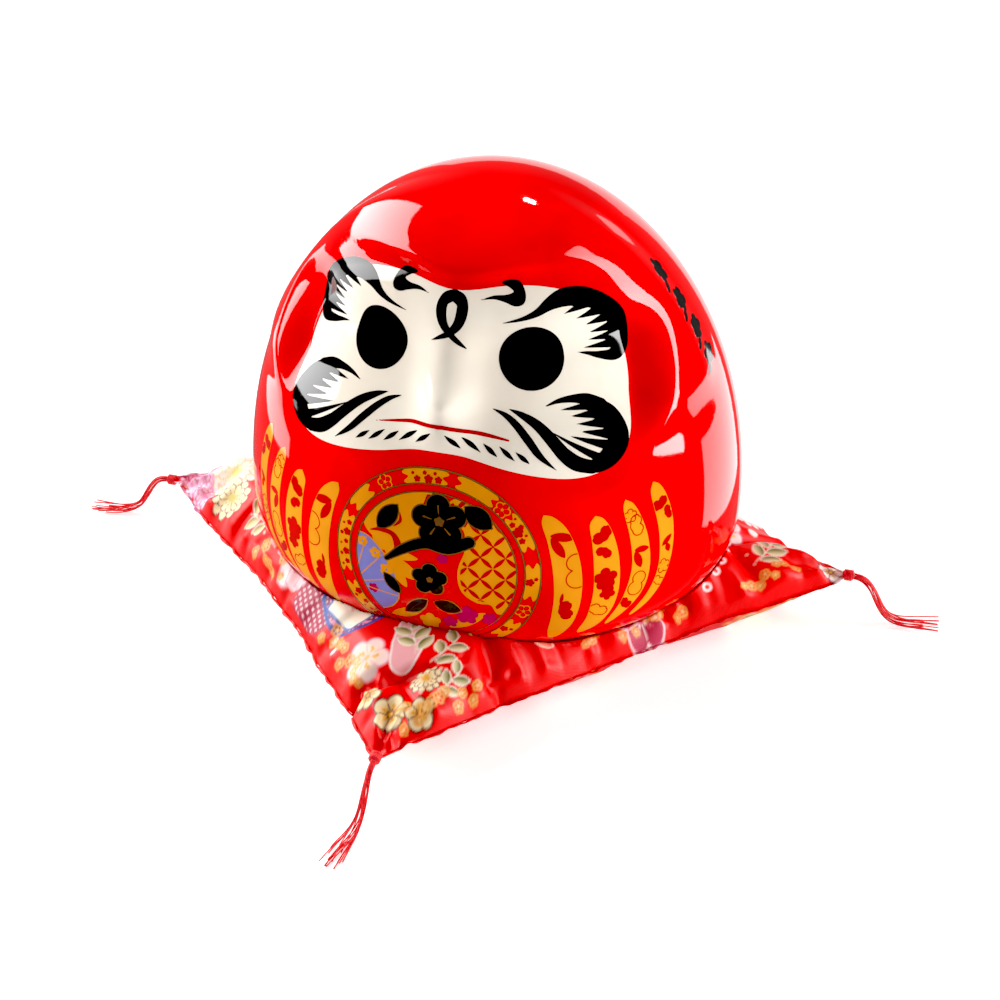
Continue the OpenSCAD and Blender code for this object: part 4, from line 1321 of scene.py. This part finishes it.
def tassel(name, angle, sway, seed, shift):
    ca, sa = math.cos(math.radians(angle)), math.sin(math.radians(angle))

    def turn(p):
        """Round to the corner's side, and along with its shift, which dies out towards the floor."""
        k = np.clip((p[:, 2] - 1.2) / 13, 0, 1)
        return np.stack([p[:, 0] * ca - p[:, 1] * sa + shift[0], p[:, 0] * sa + p[:, 1] * ca + shift[1],
                         p[:, 2] + shift[2] * k], -1)

    end = KNOT_X + KNOT_LEN
    mid = lane([(end + x, sway * s, z) for x, s, z in ROUTE], 3)
    rng = np.random.default_rng(seed)
    t = np.gradient(mid, axis=0)
    t /= np.linalg.norm(t, axis=1)[:, None]
    side = np.cross(t, [0, 0, 1.0])
    side /= np.linalg.norm(side, axis=1)[:, None]
    up = np.cross(side, t)
    s = np.linspace(0, 1, len(mid))
    parts = []
    for k in range(13):
        a0, r0 = 2 * np.pi * k / 13 + rng.uniform(-0.2, 0.2), rng.uniform(0.72, 1.0)
        a = a0 + s * rng.uniform(0.6, 2.6) + 0.3 * np.sin(6 * s + k)
        r = r0 * (0.78 + 0.25 * s) + rng.uniform(0.2, 1.3) * np.clip((s - 0.5) / 0.5, 0, 1) ** 1.4
        wide = 1 + 0.45 * np.clip((s - 0.6) / 0.4, 0, 1)
        p = mid + side * (r * wide * np.cos(a))[:, None] + up * (r * np.sin(a))[:, None]
        p[:, 2] = np.maximum(p[:, 2], 0.27 + 0.1 * rng.uniform())
        stop = len(p) - (int(rng.integers(0, 3)) if k % 3 else 0)
        parts.append(tube(turn(p[:stop]), rng.uniform(0.15, 0.2), 6))
    verts, faces = merged(parts)
    ob = piece("threads_" + name, verts, faces, [THREAD.m], "cushion")
    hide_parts("tassel_" + name)
    # the binding: thread wound round the cushion's corner tip
    core = lane([(KNOT_X + x, 0, KNOT_Z) for x in (-0.2, 0.6, 2.4, KNOT_LEN)], 4)
    core_r = np.interp(np.linspace(0, 1, len(core)), [0, 0.3, 0.8, 1], [1.0, 1.3, 1.3, 0.95])
    parts = [tube(turn(core), core_r, 14)]
    q = np.linspace(0, 1, 150)
    wind = 2 * np.pi * 5.4 * q
    coil = np.stack([KNOT_X + 0.3 + 2.3 * q, 1.36 * np.cos(wind), KNOT_Z + 1.36 * np.sin(wind)], -1)
    parts.append(tube(turn(coil), 0.24, 6))
    verts, faces = merged(parts)
    knot = piece("binding_" + name, verts, faces, [THREAD.m], "cushion")
    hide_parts("corner_knot_" + name)


# ---------------------------------------------------------------- the stopper
def stopper():
    m = Mat("soft_plastic", Roughness=0.45, Subsurface_Weight=0.15, Subsurface_Scale=0.002)
    m.to("Base Color", m.ramp(m.noise(160, 3), [(0.3, linear((226, 219, 198))),
                                                (0.7, linear((236, 230, 212)))]))
    m.to("Normal", m.bump(m.noise(2600, 2), 0.12, 0.0001))
    profile = [(0.01, 1.45), (5.6, 1.45), (6, 1.35), (6.4, 1.05), (7.6, 1.05), (8, 1.35), (8.4, 1.45),
               (11.6, 1.4), (13.6, 1.25), (15.2, 1.2), (15.5, 1.45), (15.5, 2.1), (15.3, 2.3), (13.2, 2.3),
               (12.95, 2.5), (12.95, 6.3), (12.8, 6.9), (12.4, 7.45), (11.6, 7.5), (11, 7.2), (10.95, 3.1),
               (10.6, 2.8), (0.01, 2.8)]
    n = 128
    a = 2 * np.pi * np.arange(n) / n
    rows = [np.stack([r * np.cos(a), r * np.sin(a), np.full(n, z + SEAT)], -1) for r, z in profile]
    verts = np.vstack(rows)
    faces = ring_faces(len(rows), n)
    faces += [tuple(reversed(range(n))), tuple(range((len(rows) - 1) * n, len(rows) * n))]
    ob = piece("stopper_plug", verts, faces, [m.m], "stopper", sharp=50)
    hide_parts("base_stopper")


# ---------------------------------------------------------------- build
for name, angle, sway, seed, shift in (("front", -90, -3.5, 3, (-3.2, 0, 0)), ("right", 0, 3, 5, (0, 4.0, 2.0)),
                                       ("back", 90, 3, 8, (0, 0, 0)), ("left", 180, 2, 11, (0, 0, 0))):
    tassel(name, angle, sway, seed, shift)
doll_body()
face_paint()
medallion()
stripes()
stopper()
cushion()

# ---------------------------------------------------------------- floor, light, world
def quad(name, corners, mat):
    me = bpy.data.meshes.new(name)
    me.from_pydata(corners, [], [(0, 1, 2, 3)])
    me.materials.append(mat)
    ob = bpy.data.objects.new(name, me)
    bpy.context.scene.collection.objects.link(ob)
    return ob


floor_mat = Mat("floor_white", Roughness=0.6, Emission_Color=(1, 0.99, 0.99, 1))
floor_mat.to("Base Color", floor_mat.ramp(floor_mat.noise(6, 3), [(0.3, linear((244, 243, 243))),
                                                                 (0.7, linear((250, 249, 249)))]))
_far = floor_mat.node("ShaderNodeVectorMath", {0: floor_mat.coords()}, operation="LENGTH").outputs["Value"]
_glow = {"Value": _far, "From Min": 0.3, "From Max": 1.6, "To Min": 0.46, "To Max": 1.0}
floor_mat.to("Emission Strength", floor_mat.node("ShaderNodeMapRange", _glow).outputs[0])
quad("floor", [(-4, -4, 0), (4, -4, 0), (4, 4, 0), (-4, 4, 0)], floor_mat.m).visible_glossy = False

view = bpy.context.scene.view_settings
view.view_transform = "Standard"
view.use_curve_mapping = True
view.curve_mapping.black_level = (0.022, 0.022, 0.022)
view.curve_mapping.white_level = (0.985, 0.985, 0.985)
view.curve_mapping.update()
world = bpy.data.worlds.new("studio")
bpy.context.scene.world = world
world.use_nodes = True
wt = world.node_tree
room = wt.nodes["Background"]
room.inputs[0].default_value, room.inputs[1].default_value = (1, 0.98, 0.965, 1), 0.2
seen = wt.nodes.new("ShaderNodeBackground")
seen.inputs[0].default_value, seen.inputs[1].default_value = (1, 1, 1, 1), 1.0
both = wt.nodes.new("ShaderNodeMixShader")
wt.links.new(wt.nodes.new("ShaderNodeLightPath").outputs["Is Camera Ray"], both.inputs[0])
wt.links.new(room.outputs[0], both.inputs[1])
wt.links.new(seen.outputs[0], both.inputs[2])
wt.links.new(both.outputs[0], wt.nodes["World Output"].inputs[0])


def softbox(name, at, aim, size, power, colour=(1, 1, 1), spread=180, roll=0):
    light = bpy.data.lights.new(name, "AREA")
    light.shape = "RECTANGLE"
    light.size, light.size_y = size
    light.energy = power
    light.color = colour
    light.spread = math.radians(spread)
    ob = bpy.data.objects.new(name, light)
    bpy.context.scene.collection.objects.link(ob)
    ob.location = at
    aimed = (Vector(aim) - Vector(at)).to_track_quat("-Z", "Y")
    ob.rotation_euler = (aimed @ Quaternion((0, 0, 1), math.radians(roll))).to_euler()
    return ob


softbox("box_left", (-0.724, 0.194, 0.55), (0, 0.02, 0.3), (0.92, 0.64), 7.7, spread=120)
softbox("card_left", (-0.7, 0.2, -0.09), (0, 0.05, -0.09), (0.5, 0.26), 1.3)
softbox("box_right", (0.7, 0.135, 0.555), (0, 0.135, 0.555), (0.24, 1.22), 6.2, spread=130, roll=-15)
softbox("card_right", (0.545, 0.51, -0.26), (0, 0, -0.26), (0.6, 0.28), 1.5)
softbox("card_back", (-0.1, 1.1, -0.3), (0, 0, -0.1), (0.8, 1.1), 2.8)
softbox("box_front", (-0.3, -1.6, 1.7), (0, 0, 0.05), (2.8, 2.0), 5.8, (1, 0.97, 0.93)).visible_glossy = False
softbox("lamp_back", (-0.06, 0.74, 0.8), (0, 0, 0.12), (0.055, 0.055), 0.9)
